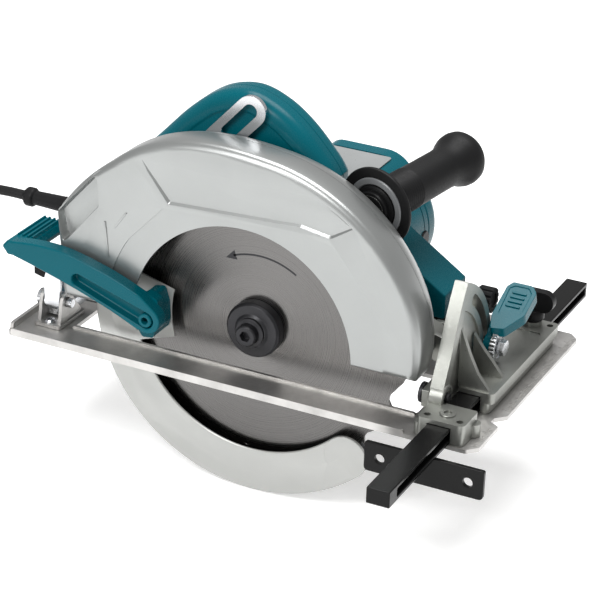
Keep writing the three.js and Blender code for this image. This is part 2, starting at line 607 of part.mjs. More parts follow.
function fenceBar() {
  const half = FENCE.width / 2;
  const bottom = BASE_TOP + GAP;
  const outer = box([FENCE.x - half, FENCE.x + half], [FENCE.near, FENCE.far], [bottom, FENCE.top]);
  const groove = box([FENCE.x + half - 7, FENCE.x + half + 1], [FENCE.near + 14, FENCE.far - 4],
    [bottom + 3.4, FENCE.top - 3.4]);
  return cut(outer, groove);
}

function fencePlate() {
  const y = FENCE.plateY;
  const top = BASE_TOP;
  const plate = box([133, 232], [y - 2, y + 2], [top - 25, top]);
  return cut(plate, rod('y', [146, top - 12.5], y - 5, y + 5, 4, 12), rod('y', [219, top - 12.5], y - 5, y + 5, 4, 12));
}

function fenceKnob() {
  const head = prismZ(disc(FENCE.x, KNOB.y, 9.5), KNOB.bottom, KNOB.bottom + 9, 7);
  const wingZ = KNOB.bottom + 17;
  const wings = prismY(stadium(FENCE.x - 9, wingZ, FENCE.x + 9, wingZ, 9), KNOB.y - 4.5, KNOB.y + 4.5, 5);
  const stem = rod('z', [FENCE.x, KNOB.y], FENCE.top + 0.4, KNOB.bottom + 1, 3, 12);
  return join(head, wings, stem);
}

const [boltY, boltZ] = bevelPoint(BEVEL.slot, BEVEL.rest);

// The bracket behind the quadrant, which tilts against it and swings on the depth pin.
function hingeBracket() {
  const rear = QUADRANT.rear - 6.3;
  const plate = prismX(polygon([[BEVEL.y - 8, BEVEL.z - 8], [BEVEL.y - 8, BEVEL.z + 6], [4, -4], [18, 10], [34, 26],
    [66, 22], [boltY + 12, 8], [boltY + 12, -8], [52, -22], [BEVEL.y + 4, BEVEL.z - 10]]), rear, QUADRANT.rear - GAP);
  const ear = (y) => prismY(polygon([[rear + 1, -8], [DEPTH.x - 4, 0], [DEPTH.x - 9, 6], [DEPTH.x - 9, 14],
    [DEPTH.x - 4, 19], [DEPTH.x + 6, 19], [rear + 1, 16]]), y, y + 5);
  return cut(join(plate, ear(20.6), ear(42.7)),
    rod('y', [DEPTH.x, DEPTH.z], 10, 60, 4.4, 12),
    rod('x', [BEVEL.y, BEVEL.z], rear - 1, QUADRANT.rear, 4.4, 12),
    rod('x', [boltY, boltZ], rear - 1, QUADRANT.rear, 4.4, 12));
}

function depthPin() {
  return join(rod('y', [DEPTH.x, DEPTH.z], 16, 52, 4, 12), rod('y', [DEPTH.x, DEPTH.z], 16, 20.2, 7, 14));
}

function frontBevelPin() {
  const rear = QUADRANT.rear - 6.3;
  return join(rod('x', [BEVEL.y, BEVEL.z], rear - 2, QUADRANT.front + 3, 4, 12),
    rod('x', [BEVEL.y, BEVEL.z], rear - 3.3, rear - GAP, 8.5, 16));
}

// Along the bolt, from the quadrant outwards: the lever's hub, a washer and the bolt's head.
const CLAMP = {
  hub: QUADRANT.front + GAP, washer: QUADRANT.front + 7, head: QUADRANT.front + 12, end: QUADRANT.front + 17.5,
};

function bevelBolt() {
  const rear = QUADRANT.rear - 6.3;
  return join(rod('x', [boltY, boltZ], rear - 3, CLAMP.end, 4, 12),
    prismX(hexagon(boltY, boltZ, 7.5), rear - 4.3, rear - GAP),
    prismX(hexagon(boltY, boltZ, 7), CLAMP.head, CLAMP.end));
}

function bevelWasher() {
  return tube('x', [boltY, boltZ], CLAMP.washer, CLAMP.head - GAP, 4.3, 11.5, 20);
}

// A hub on the bolt, a short neck and a broad paddle for the thumb.
function bevelLever() {
  const hub = tube('x', [boltY, boltZ], CLAMP.hub, CLAMP.washer - GAP, 4.3, 9.5, 18);
  const outline = (points) => polygon(points.map(([y, z]) => [boltY + y, boltZ + z]));
  const neck = prismX(outline([[-2, 6], [6, 3], [16, 12], [8, 20]]), CLAMP.hub, CLAMP.washer - GAP);
  const paddle = prismX(outline([[6, 12], [12, 10], [47, 25], [50, 31], [48, 35], [42, 35], [6, 20]]),
    CLAMP.hub, CLAMP.hub + 23);
  return join(hub, neck, paddle);
}

// The rear bevel bracket stands on the base; its pin carries the foot of the depth guide.
function rearBracket() {
  const ear = (x) => prismX(polygon([[-30, BASE_TOP + GAP], [-28, -14], [BEVEL.y - 5, BEVEL.z + 8],
    [BEVEL.y + 5, BEVEL.z + 8], [-8, -14], [4, BASE_TOP + GAP]]), x, x + 3);
  const foot = box([-192, -166], [-34, 8], [BASE_TOP + GAP, BASE_TOP + GAP + 3]);
  return cut(join(ear(-190), ear(-171), foot), rod('x', [BEVEL.y, BEVEL.z], -200, -160, 4.4, 12));
}

function rearBevelPin() {
  return join(rod('x', [BEVEL.y, BEVEL.z], -194, -163, 4, 12), rod('x', [BEVEL.y, BEVEL.z], -194, -190.3, 7, 14));
}

function depthGuide() {
  const [x, z, radius] = [DEPTH.x, DEPTH.z, DEPTH.guide];
  const startAngle = 180 + Math.asin((z - DEPTH.clampZ) / radius) / DEG;
  const bar = prismY(ringSlot(x, z, radius, 10, startAngle - DEPTH.travel - 0.6, startAngle + 0.4), 17, 20.5, 9);
  const slot = prismY(ringSlot(x, z, radius, 4.4, startAngle - DEPTH.travel, startAngle), 16, 22, 9);
  const collar = rod('x', [BEVEL.y, BEVEL.z], -186.7, -171.3, 8, 18);
  const link = box([-186.7, -171.3], [BEVEL.y, 20.5], [-26, -17]);
  const riser = prismY(polygon([[-186.7, -26], [-152, -26], [-152, -16], [-171.3, -10], [-186.7, -14]]), 17, 20.5);
  const cheekOutline = polygon([[-185, -14], [-172, -14], [-170, 10], [-174, 22], [-182, 22], [-186, 8]]);
  const cheek = (y) => prismY(cheekOutline, y, y + 3);
  return cut(join(bar, collar, link, riser, cheek(-26), cheek(-13)), slot,
    rod('x', [BEVEL.y, BEVEL.z], -200, -160, 4.4, 12));
}

function depthBolt() {
  return join(rod('y', [CLAMP_X, DEPTH.clampZ], 9.5, 31, 3.9, 12),
    prismY(hexagon(CLAMP_X, DEPTH.clampZ, 7), 10.2, 12.7));
}

function depthLever() {
  const hub = tube('y', [CLAMP_X, DEPTH.clampZ], 20.9, 29, 4.2, 8.5, 18);
  const outline = [[0, -5], [0, 5], [-58, 9], [-66, 6], [-66, -3], [-58, -5]];
  const arm = prismY(polygon(outline.map(([x, z]) => [CLAMP_X + x, DEPTH.clampZ + z])), 22, 28.5);
  return cut(join(hub, arm), rod('y', [CLAMP_X, DEPTH.clampZ], 10, 40, 4.2, 14));
}

// ---------------------------------------------------------------- cord
// The cord leaves the strain relief, drops beside the saw and lies down along the coil's side.
function cordRoute() {
  const y = RELIEF.at[1];
  const x = COIL.x + COIL.outer - CORD.radius;
  return [[-245.3, y, 46], [-262, y, 46], [-278, y, 44.5], [-296, y, 38], [-312, y, 25], [-323, y, 6],
    [-329, y, -16], [x, y, -40], [x, 39.5, -62], [x, 36, -85], [x, 28, -107], [x, 15, -126], [x, 0, -138],
    [x, -7.5, -141.7]].map((point) => new THREE.Vector3(...point));
}

function cordTube() {
  const curve = new THREE.CatmullRomCurve3(cordRoute(), false, 'centripetal');
  const section = disc(0, 0, CORD.radius);
  return solid(new THREE.ExtrudeGeometry(section, { steps: 20, curveSegments: 4, extrudePath: curve }));
}

function cordCoil() {
  return tube('z', [COIL.x, COIL.y], CORD.floor + 0.1, CORD.floor + COIL.height, COIL.inner, COIL.outer, 26);
}

// The plug lies beside the coil: a tapered sleeve, a flattened body and two round pins.
function plug() {
  const [x, y, z] = [COIL.x - COIL.outer + CORD.radius, COIL.y + 36, CORD.floor + PLUG.thickness / 2 + 0.1];
  const side = (PLUG.width - PLUG.thickness) / 2;
  const sleeve = turned([[0, 0], [5.4, 0], [7, PLUG.sleeve + 1], [0, PLUG.sleeve + 1]], [x, y, z], AXES.y, 12);
  const bodyStart = y + PLUG.sleeve;
  const bodyEnd = bodyStart + PLUG.length;
  const body = prismY(stadium(x - side, z, x + side, z, PLUG.thickness / 2), bodyStart, bodyEnd, 7, 1.5);
  const pin = (side) => rod('y', [x + (side * PLUG.pinSpacing) / 2, z], bodyEnd - 1, bodyEnd + PLUG.pin, 2.4, 10);
  return join(sleeve, body, pin(-1), pin(1));
}

function strainRelief() {
  return turned([[0, 0], [7, 0], [7, 6], [10, 6], [10, 9], [7, 9.3], [7, 30], [6.2, 62], [8.3, 64], [8.3, 70],
    [5.5, 73], [0, 73]], RELIEF.at, RELIEF.direction, 16);
}

// ---------------------------------------------------------------- materials and assembly
const finish = (color, roughness, metalness) => ({ color, roughness, metalness });
const FINISH = {
  casting: finish(0xc3c6c2, 0.42, 0.55), guard: finish(0xc9cac5, 0.45, 0.4), teal: finish(0x0d7f8f, 0.4, 0),
  black: finish(0x1d1c1c, 0.5, 0), steel: finish(0xb9bbbd, 0.28, 0.95), dark: finish(0x2a2c2e, 0.35, 0.8),
  alloy: finish(0xa9aca6, 0.4, 0.7), copper: finish(0xb06a3a, 0.35, 0.9), core: finish(0x5b5d60, 0.5, 0.8),
};

const PIECES = [
  ['blade_case', FINISH.casting, bladeCase], ['case_cover', FINISH.casting, caseCover],
  ['gear_housing', FINISH.alloy, gearHousing], ['motor_housing', FINISH.teal, motorHousing],
  ['motor_end_cover', FINISH.teal, motorEndCover], ['nose_cover', FINISH.teal, () => nose(false)],
  ['nose_bumper', FINISH.black, () => nose(true)],
  ['handle_left', FINISH.teal, () => handleHalf(HANDLE.near, HANDLE.middle)],
  ['handle_right', FINISH.teal, () => handleHalf(HANDLE.middle + GAP, HANDLE.far)],
  ['switch_body', FINISH.black, switchBody], ['trigger', FINISH.black, trigger],
  ['lock_off_button', FINISH.black, lockOffButton], ['cord_guard', FINISH.black, strainRelief],
  ['side_grip', FINISH.black, sideGrip], ['grip_bolt', FINISH.steel, gripBolt],
  ['hanging_loop', FINISH.steel, hangingLoop],
  ['stator', FINISH.core, () => tube('y', [MOTOR_X, MOTOR_Z], ...ROTOR.stator, 31, 45.2, 24)],
  ['armature_core', FINISH.core, () => tube('y', [MOTOR_X, MOTOR_Z], ...ROTOR.core, 6.3, 30, 20)],
  ['armature_shaft', FINISH.steel, armatureShaft], ['fan', FINISH.black, fan],
  ['commutator', FINISH.copper, () => tube('y', [MOTOR_X, MOTOR_Z], ...ROTOR.commutator, 6.3, 15, 16)],
  ['armature_front_bearing', FINISH.steel, () => tube('y', [MOTOR_X, MOTOR_Z], 46.5, 56, 6.3, 13, 20)],
  ['armature_rear_bearing', FINISH.steel, () => tube('y', [MOTOR_X, MOTOR_Z], ...ROTOR.rearBearing, 5.3, 11, 18)],
  ['carbon_brush_front', FINISH.dark, () => brush(1)], ['carbon_brush_rear', FINISH.dark, () => brush(-1)],
  ['brush_cap_front', FINISH.black, () => brushCap(1, HOUSING.x + HOUSING.radius)],
  ['brush_cap_rear', FINISH.black, () => brushCap(-1, HOUSING.x - HOUSING.radius)],
  ['spindle', FINISH.steel, spindle], ['drive_gear', FINISH.steel, driveGear],
  ['spindle_front_bearing', FINISH.steel, () => tube('y', [0, 0], 12.6, 24.6, SPINDLE.radius + GAP, 21.7, 26)],
  ['spindle_rear_bearing', FINISH.steel, () => tube('y', [0, 0], 37.6, 43.2, 6.3, 13, 20)],
  ['inner_flange', FINISH.dark, innerFlange], ['blade', FINISH.steel, blade],
  ['outer_flange', FINISH.black, outerFlange], ['blade_bolt', FINISH.dark, bladeBolt],
  ['shaft_lock_button', FINISH.black, () => join(
    rod('y', [LOCK.x, LOCK.z], 36.3, 50, 4, 12), rod('y', [LOCK.x, LOCK.z], 45, 53, 6, 14))],
  ['guard_retaining_ring', FINISH.steel, () => tube('y', [0, 0], 6.3, 7.7, 25.5, 35, 28)],
  ['lower_guard', FINISH.guard, lowerGuard], ['guard_lever', FINISH.teal, guardLever],
  ['guard_spring', FINISH.steel, guardSpring],
  ['base_plate', FINISH.steel, basePlate], ['front_casting', FINISH.alloy, frontCasting],
  ['hinge_bracket', FINISH.alloy, hingeBracket], ['depth_pin', FINISH.steel, depthPin],
  ['front_bevel_pin', FINISH.dark, frontBevelPin], ['bevel_bolt', FINISH.steel, bevelBolt],
  ['bevel_washer', FINISH.steel, bevelWasher], ['bevel_lever', FINISH.teal, bevelLever],
  ['rear_bracket', FINISH.steel, rearBracket], ['rear_bevel_pin', FINISH.steel, rearBevelPin],
  ['depth_guide', FINISH.steel, depthGuide], ['depth_bolt', FINISH.steel, depthBolt],
  ['depth_lever', FINISH.black, depthLever], ['fence_bar', FINISH.black, fenceBar],
  ['fence_plate', FINISH.black, fencePlate], ['fence_knob', FINISH.black, fenceKnob],
  ['cord', FINISH.black, cordTube], ['cord_coil', FINISH.black, cordCoil], ['plug', FINISH.black, plug],
];

const saw = new THREE.Group();
saw.position.copy(ARBOR);
for (const [name, look, make] of PIECES) {
  const mesh = new THREE.Mesh(toGeometry(make()), new THREE.MeshStandardMaterial(look));
  mesh.name = name;
  saw.add(mesh);
}

export default saw;
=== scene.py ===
"""Circular saw: fine surfaces, materials, cord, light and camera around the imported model."""
import json
import math

import bmesh
import bpy
from mathutils import Matrix, Vector


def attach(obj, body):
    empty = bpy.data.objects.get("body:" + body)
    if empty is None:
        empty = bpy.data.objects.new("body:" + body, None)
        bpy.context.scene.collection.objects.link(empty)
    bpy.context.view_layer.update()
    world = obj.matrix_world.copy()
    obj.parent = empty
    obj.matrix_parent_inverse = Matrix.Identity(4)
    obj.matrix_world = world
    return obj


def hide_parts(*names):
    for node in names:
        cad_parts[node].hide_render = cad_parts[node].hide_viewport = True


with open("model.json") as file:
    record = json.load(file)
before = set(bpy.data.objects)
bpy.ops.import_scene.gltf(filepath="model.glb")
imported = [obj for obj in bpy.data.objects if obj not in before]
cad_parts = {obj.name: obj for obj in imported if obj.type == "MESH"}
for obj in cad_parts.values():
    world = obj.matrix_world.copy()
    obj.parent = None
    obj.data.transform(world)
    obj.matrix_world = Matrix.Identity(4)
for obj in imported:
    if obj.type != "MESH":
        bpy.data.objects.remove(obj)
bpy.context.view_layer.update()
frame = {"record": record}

# Shapes below are in millimetres from the blade's axis: +X the direction of cut, +Y towards the motor, +Z up.
MM = 0.001
ARBOR = Vector((-0.185, 0.0, 0.035))
SOLE = -35.0
FLOOR = -146.0
DEG = math.pi / 180


def place(point):
    """A point in millimetres from the blade's axis, as metres in the row frame."""
    return ARBOR + Vector(point) * MM


# ---------------------------------------------------------------- materials
def shader(name, color, metallic, roughness):
    material = bpy.data.materials.new(name)
    material.use_nodes = True
    surface = material.node_tree.nodes["Principled BSDF"]
    surface.inputs["Base Color"].default_value = (*color, 1)
    surface.inputs["Metallic"].default_value = metallic
    surface.inputs["Roughness"].default_value = roughness
    return material, surface


def add(material, kind, **inputs):
    node = material.node_tree.nodes.new(kind)
    for key, value in inputs.items():
        node.inputs[key.replace("_", " ")].default_value = value
    return node


def link(material, out, into):
    material.node_tree.links.new(out, into)


def coordinates(material, stretch=(1, 1, 1)):
    """Object coordinates in metres, scaled along each axis."""
    source = material.node_tree.nodes.new("ShaderNodeTexCoord")
    mapping = material.node_tree.nodes.new("ShaderNodeMapping")
    mapping.inputs["Scale"].default_value = stretch
    link(material, source.outputs["Object"], mapping.inputs["Vector"])
    return mapping.outputs["Vector"]


def ramp(material, factor, stops):
    node = material.node_tree.nodes.new("ShaderNodeValToRGB")
    elements = node.color_ramp.elements
    while len(elements) < len(stops):
        elements.new(0.5)
    for element, (position, color) in zip(elements, stops):
        element.position = position
        element.color = (*color, 1) if len(color) == 3 else color
    link(material, factor, node.inputs["Fac"])
    return node.outputs["Color"]


def grey(value):
    return (value, value, value)


def textured(name, color, metallic, roughness, grain=900, bump=0.1, depth=0.0002, vary=0.12, spread=0.1,
             stretch=(1, 1, 1), blotch=18, gloss=0.5):
    """A finish with fine grain in its bump, and slow changes of colour and roughness."""
    material, surface = shader(name, color, metallic, roughness)
    surface.inputs["Specular IOR Level"].default_value = gloss
    fine = add(material, "ShaderNodeTexNoise", Scale=grain, Detail=3.0, Roughness=0.6)
    link(material, coordinates(material, stretch), fine.inputs["Vector"])
    relief = add(material, "ShaderNodeBump", Strength=bump, Distance=depth)
    link(material, fine.outputs["Fac"], relief.inputs["Height"])
    link(material, relief.outputs["Normal"], surface.inputs["Normal"])
    slow = add(material, "ShaderNodeTexNoise", Scale=blotch, Detail=4.0, Roughness=0.6)
    link(material, coordinates(material), slow.inputs["Vector"])
    dark = [channel * (1 - vary) for channel in color]
    light = [min(1, channel * (1 + vary)) for channel in color]
    tone = ramp(material, slow.outputs["Fac"], [(0.3, dark), (0.7, light)])
    link(material, tone, surface.inputs["Base Color"])
    low, high = max(0.02, roughness - spread), min(1, roughness + spread)
    link(material, ramp(material, fine.outputs["Fac"], [(0.25, grey(low)), (0.75, grey(high))]),
         surface.inputs["Roughness"])
    return material


def blade_steel():
    """Ground steel: fine rings round the blade's axis, which spread the light into long soft bands."""
    material, surface = shader("blade_steel", (0.3, 0.29, 0.28), 1.0, 0.3)
    shift = add(material, "ShaderNodeVectorMath")
    shift.operation = "SUBTRACT"
    link(material, coordinates(material), shift.inputs[0])
    shift.inputs[1].default_value = ARBOR
    length = add(material, "ShaderNodeVectorMath")
    length.operation = "LENGTH"
    link(material, shift.outputs[0], length.inputs[0])
    rings = add(material, "ShaderNodeTexNoise", Scale=2200.0, Detail=2.0)
    rings.noise_dimensions = "1D"
    link(material, length.outputs["Value"], rings.inputs["W"])
    link(material, ramp(material, rings.outputs["Fac"], [(0.3, grey(0.24)), (0.7, grey(0.34))]),
         surface.inputs["Roughness"])
    tone = ramp(material, rings.outputs["Fac"], [(0.3, (0.12, 0.116, 0.113)), (0.7, (0.195, 0.19, 0.186))])
    link(material, tone, surface.inputs["Base Color"])
    tangent = add(material, "ShaderNodeTangent")
    tangent.direction_type = "RADIAL"
    tangent.axis = "Y"
    link(material, tangent.outputs["Tangent"], surface.inputs["Tangent"])
    surface.inputs["Anisotropic"].default_value = 0.85
    return material


LOOKS = {
    "cast_silver": textured("cast_silver", (0.35, 0.36, 0.355), 0.8, 0.33, 1500, 0.10, vary=0.03,
                            spread=0.05),
    "guard_silver": textured("guard_silver", (0.46, 0.465, 0.45), 0.5, 0.4, 1500, 0.10, vary=0.03,
                             spread=0.05),
    "alloy": textured("alloy", (0.28, 0.285, 0.265), 0.85, 0.34, 700, 0.3, vary=0.08, spread=0.08),
    "teal": textured("teal", (0.0, 0.085, 0.110), 0.0, 0.27, 1400, 0.10, vary=0.05, spread=0.06,
                     gloss=0.14),
    "black_plastic": textured("black_plastic", (0.007, 0.007, 0.0074), 0.0, 0.36, 1300, 0.15, vary=0.2,
                              gloss=0.12),
    "black_rubber": textured("black_rubber", (0.008, 0.008, 0.0084), 0.0, 0.5, 900, 0.3, vary=0.25,
                             gloss=0.15),
    "steel": textured("steel", (0.50, 0.49, 0.475), 0.9, 0.4, 420, 0.10, 0.0002, 0.14, 0.08, blotch=45),
    "zinc": textured("zinc", (0.66, 0.67, 0.69), 1.0, 0.22, 800, 0.08, vary=0.05, spread=0.06),
    "dark_steel": textured("dark_steel", (0.03, 0.03, 0.033), 0.6, 0.38, 900, 0.15, vary=0.2),
    "black_paint": textured("black_paint", (0.006, 0.006, 0.006), 0.0, 0.22, 500, 0.05, vary=0.2,
                            spread=0.05,
                            gloss=0.14),
    "copper": textured("copper", (0.55, 0.26, 0.12), 1.0, 0.3, 1200, 0.1, vary=0.1),
    "core": textured("core", (0.2, 0.2, 0.21), 0.9, 0.4, 1200, 0.3, vary=0.1, stretch=(0.1, 6, 0.1)),
    "cord": textured("cord", (0.010, 0.010, 0.0105), 0.0, 0.48, 1200, 0.2, vary=0.2, gloss=0.2),
    "carbide": textured("carbide", (0.42, 0.43, 0.45), 0.9, 0.3, 900, 0.1, vary=0.1),
    "grey_plastic": textured("grey_plastic", (0.16, 0.165, 0.17), 0.2, 0.4, 1200, 0.1, vary=0.06),
    "label": textured("label", (0.32, 0.33, 0.33), 0.3, 0.35, 600, 0.05, vary=0.1),
    "blade_steel": blade_steel(),
}
SLOT_OF = {part["node"]: part["material_slot"] for part in frame["record"]["subparts"]}
BODY_OF = {node: body for body, nodes in frame["record"]["behaviour"]["bodies"].items() for node in nodes}

# ---------------------------------------------------------------- camera
AZIMUTH, ELEVATION, ROLL = 25.451, 25.452, 2.0
DISTANCE, ASIDE, ABOVE = 1975.69, 29.14, 25.26
LENS = 149.18


def camera():
    a, e, roll = AZIMUTH * DEG, ELEVATION * DEG, ROLL * DEG
    back = Vector((math.sin(a) * math.cos(e), -math.cos(a) * math.cos(e), math.sin(e)))
    right = Vector((math.cos(a), math.sin(a), 0))
    up = back.cross(right)
    turned_right = right * math.cos(roll) + up * math.sin(roll)
    turned_up = up * math.cos(roll) - right * math.sin(roll)
    data = bpy.data.cameras.new("camera")
    data.lens = LENS
    data.sensor_width = 36
    data.clip_start = 0.05
    data.clip_end = 50
    obj = bpy.data.objects.new("camera", data)
    bpy.context.scene.collection.objects.link(obj)
    turn = Matrix((turned_right, turned_up, back)).transposed()
    obj.matrix_world = Matrix.Translation(place(back * DISTANCE + right * ASIDE + up * ABOVE)) @ turn.to_4x4()
    bpy.context.scene.camera = obj


camera()


# ---------------------------------------------------------------- cord
CORD_RADIUS = 4.25
COIL = {"x": -390, "y": -40, "outer": 59.65, "pitch": 8.5, "inner_columns": 3, "layer": 8.6, "laps": 7.5}
RELIEF_AXIS = (40.5, 46.0)
CORD_LOW = FLOOR + CORD_RADIUS + 0.1
# Degrees turned round the coil when the cord first moves a column inward, climbs a layer, and moves outward.
FIRST_INWARD, CLIMB, FIRST_OUTWARD = 240, 1274, 1575
SHIFT_LENGTH, CLIMB_LENGTH = 160, 172
# The cord comes in this far outside the coil's first turn.
LEAD_IN = 1


def smooth_step(t):
    """From 0 to 1, level at both ends."""
    t = max(0.0, min(1.0, t))
    return t * t * (3 - 2 * t)


def s_curve(t):
    """From 0 to 1 on two equal bends."""
    t = max(0.0, min(1.0, t))
    return 2 * t * t if t < 0.5 else 1 - 2 * (1 - t) ** 2


def catmull(points, steps):
    """Points on a smooth curve through the given ones."""
    fine = []
    for i in range(len(points) - 1):
        p0 = points[max(0, i - 1)]
        p1, p2 = points[i], points[i + 1]
        p3 = points[min(len(points) - 1, i + 2)]
        for k in range(steps):
            t = k / steps
            fine.append(0.5 * ((2 * p1) + (p2 - p0) * t + (2 * p0 - 5 * p1 + 4 * p2 - p3) * t * t
                               + (3 * p1 - 3 * p2 + p3 - p0) * t ** 3))
    fine.append(points[-1])
    return fine


def shifts(turned, first):
    """How many columns the cord has moved, with one move on each lap from the first on."""
    if turned < first:
        return 0.0
    laps, angle = divmod(turned - first, 360)
    return laps + s_curve(angle / SHIFT_LENGTH)


def coil_point(turned):
    """The cord's middle after it has turned so many degrees round the coil, clockwise from above."""
    column = min(COIL["inner_columns"], shifts(turned, FIRST_INWARD)) - shifts(turned, FIRST_OUTWARD)
    level = s_curve((turned - CLIMB) / CLIMB_LENGTH)
    lead_in = LEAD_IN * (1 - s_curve(turned / 120))
    radius = COIL["outer"] + lead_in - column * COIL["pitch"]
    angle = -turned * DEG
    return Vector((COIL["x"] + radius * math.cos(angle), COIL["y"] + radius * math.sin(angle),
                   CORD_LOW + level * COIL["layer"]))


def cord():
    y, z = RELIEF_AXIS
    x = COIL["x"] + COIL["outer"] + LEAD_IN
    route = [(-245.3, y, z), (-262, y, 46), (-278, y, 44.5), (-296, y, 38), (-312, y, 25), (-322.5, y, 6),
             (-328, y, -16), (x, y, -40), (x, 39, -66), (x, 35, -89), (x, 28.5, -108), (x, 19.4, -122.4),
             (x, 8, -133), (x, -5.9, -139.5), (x, -22, CORD_LOW), (x, COIL["y"], CORD_LOW)]
    points = catmull([Vector(point) for point in route], 4)[:-1]
    turns = COIL["laps"] * 360
    steps = int(turns / 4)
    points += [coil_point(turns * i / steps) for i in range(steps + 1)]
    end = points[-1]
    return points + [end + Vector((1.1 * s_curve(ahead / 37), ahead, 0)) for ahead in (9, 18, 28, 37)]


def curve_tube(name, points, radius, look):
    data = bpy.data.curves.new(name, "CURVE")
    data.dimensions = "3D"
    data.bevel_depth = radius * MM
    data.bevel_resolution = 8
    data.use_fill_caps = True
    spline = data.splines.new("POLY")
    spline.points.add(len(points) - 1)
    for target, point in zip(spline.points, points):
        target.co = (*place(point), 1)
    spline.use_smooth = True
    obj = bpy.data.objects.new(name, data)
    bpy.context.scene.collection.objects.link(obj)
    data.materials.append(LOOKS[look])
    return obj


cord_points = cord()
power_cord = curve_tube("power_cord", cord_points, CORD_RADIUS, "cord")
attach(power_cord, "saw")
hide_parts("cord", "cord_coil")


# ---------------------------------------------------------------- shapes
def spread(axis, u, v, w):
    """Outline coordinates and a level along an axis, as X, Y, Z."""
    return {"x": (w, u, v), "y": (u, w, v), "z": (u, v, w)}[axis]


def new_object(name, bm):
    bmesh.ops.recalc_face_normals(bm, faces=bm.faces)
    mesh = bpy.data.meshes.new(name)
    bm.to_mesh(mesh)
    bm.free()
    obj = bpy.data.objects.new(name, mesh)
    bpy.context.scene.collection.objects.link(obj)
    return obj


def stack(axis, rings):
    """A solid through outlines with the same number of points, each at its own level."""
    bm = bmesh.new()
    loops = [[bm.verts.new(place(spread(axis, u, v, level))) for u, v in outline] for outline, level in rings]
    bm.faces.new(loops[0])
    bm.faces.new(loops[-1])
    count = len(loops[0])
    for low, high in zip(loops, loops[1:]):
        for i in range(count):
            j = (i + 1) % count
            bm.faces.new((low[i], low[j], high[j], high[i]))
    return new_object("shape", bm)


def prism(axis, outline, start, end):
    return stack(axis, [(outline, start), (outline, end)])


def box(x, y, z):
    return prism("z", [(x[0], y[0]), (x[1], y[0]), (x[1], y[1]), (x[0], y[1])], z[0], z[1])


def lathe(profile, origin, direction, segments=72, closed=False):
    """A profile of (radius, height) turned about a line; closed profiles make a ring."""
    turn = Vector(direction).normalized().to_track_quat("Z", "X").to_matrix()
    bm = bmesh.new()
    rows = []
    for radius, height in profile:
        if radius == 0:
            rows.append([bm.verts.new(place(Vector(origin) + turn @ Vector((0, 0, height))))] * segments)
            continue
        row = []
        for i in range(segments):
            angle = 2 * math.pi * i / segments
            point = Vector((radius * math.cos(angle), radius * math.sin(angle), height))
            row.append(bm.verts.new(place(Vector(origin) + turn @ point)))
        rows.append(row)
    pairs = list(zip(rows, rows[1:])) + ([(rows[-1], rows[0])] if closed else [])
    for low, high in pairs:
        for i in range(segments):
            j = (i + 1) % segments
            corners = list(dict.fromkeys((low[i], low[j], high[j], high[i])))
            if len(corners) > 2:
                bm.faces.new(corners)
    return new_object("shape", bm)


def rod(axis, a, b, start, end, radius, segments=40, edge=0.0):
    """A rod along an axis at two other coordinates, with its ends' edges taken off."""
    direction = {"x": (1, 0, 0), "y": (0, 1, 0), "z": (0, 0, 1)}[axis]
    origin = spread(axis, a, b, start)
    length = end - start
    profile = [(0, 0), (radius, 0), (radius, length), (0, length)]
    if edge:
        profile = [(0, 0), (radius - edge, 0), (radius, edge)]
        profile += [(radius, length - edge), (radius - edge, length), (0, length)]
    return lathe(profile, origin, direction, segments)


def arc(x, y, radius, start, end, step=3.0):
    """Points on an arc, from one angle in degrees to another."""
    count = max(2, round(abs(end - start) / step))
    angles = [(start + (end - start) * i / count) * DEG for i in range(count + 1)]
    return [(x + radius * math.cos(a), y + radius * math.sin(a)) for a in angles]


def stadium(x0, y0, x1, y1, radius):
    """Two half circles joined by straight sides."""
    angle = math.atan2(y1 - y0, x1 - x0) / DEG
    return arc(x1, y1, radius, angle - 90, angle + 90, 9) + arc(x0, y0, radius, angle + 90, angle + 270, 9)


def ring_slot(x, y, radius, half, start, end):
    """A slot of constant width bent round a centre, with round ends."""
    a, b = start * DEG, end * DEG
    return (arc(x, y, radius + half, start, end)
            + arc(x + radius * math.cos(b), y + radius * math.sin(b), half, end, end + 180, 12)
            + arc(x, y, radius - half, end, start)
            + arc(x + radius * math.cos(a), y + radius * math.sin(a), half, start + 180, start + 360, 12))


def rounded(points, radius, steps=6):
    """A polygon with its corners rounded; radius is one number, or one for each corner."""
    result = []
    count = len(points)
    for i in range(count):
        here = Vector(points[i])
        before, after = Vector(points[i - 1]) - here, Vector(points[(i + 1) % count]) - here
        size = radius[i] if isinstance(radius, (list, tuple)) else radius
        opening = before.angle(after)
        reach = min(size / math.tan(opening / 2), 0.49 * before.length, 0.49 * after.length) if size else 0
        if reach < 0.05:
            result.append(tuple(here))
            continue
        start, end = here + before.normalized() * reach, here + after.normalized() * reach
        for k in range(steps + 1):
            t = k / steps
            result.append(tuple(start * (1 - t) ** 2 + here * 2 * t * (1 - t) + end * t * t))
    return result


def spline(points, steps=6):
    return [tuple(point) for point in catmull([Vector(p) for p in points], steps)]


def settle(obj):
    """Takes an object's modifiers into its mesh."""
    graph = bpy.context.evaluated_depsgraph_get()
    mesh = bpy.data.meshes.new_from_object(obj.evaluated_get(graph))
    obj.modifiers.clear()
    old, obj.data = obj.data, mesh
    bpy.data.meshes.remove(old)
    return obj


def combine(obj, operation, others):
    for other in others:
        modifier = obj.modifiers.new("combine", "BOOLEAN")
        modifier.operation = operation
        modifier.solver = "EXACT"
        modifier.object = other
    settle(obj)
    for other in others:
        mesh = other.data
        bpy.data.objects.remove(other)
        bpy.data.meshes.remove(mesh)
    return obj


def cut(obj, *others):
    return combine(obj, "DIFFERENCE", others)


def join(obj, *others):
    return combine(obj, "UNION", others)


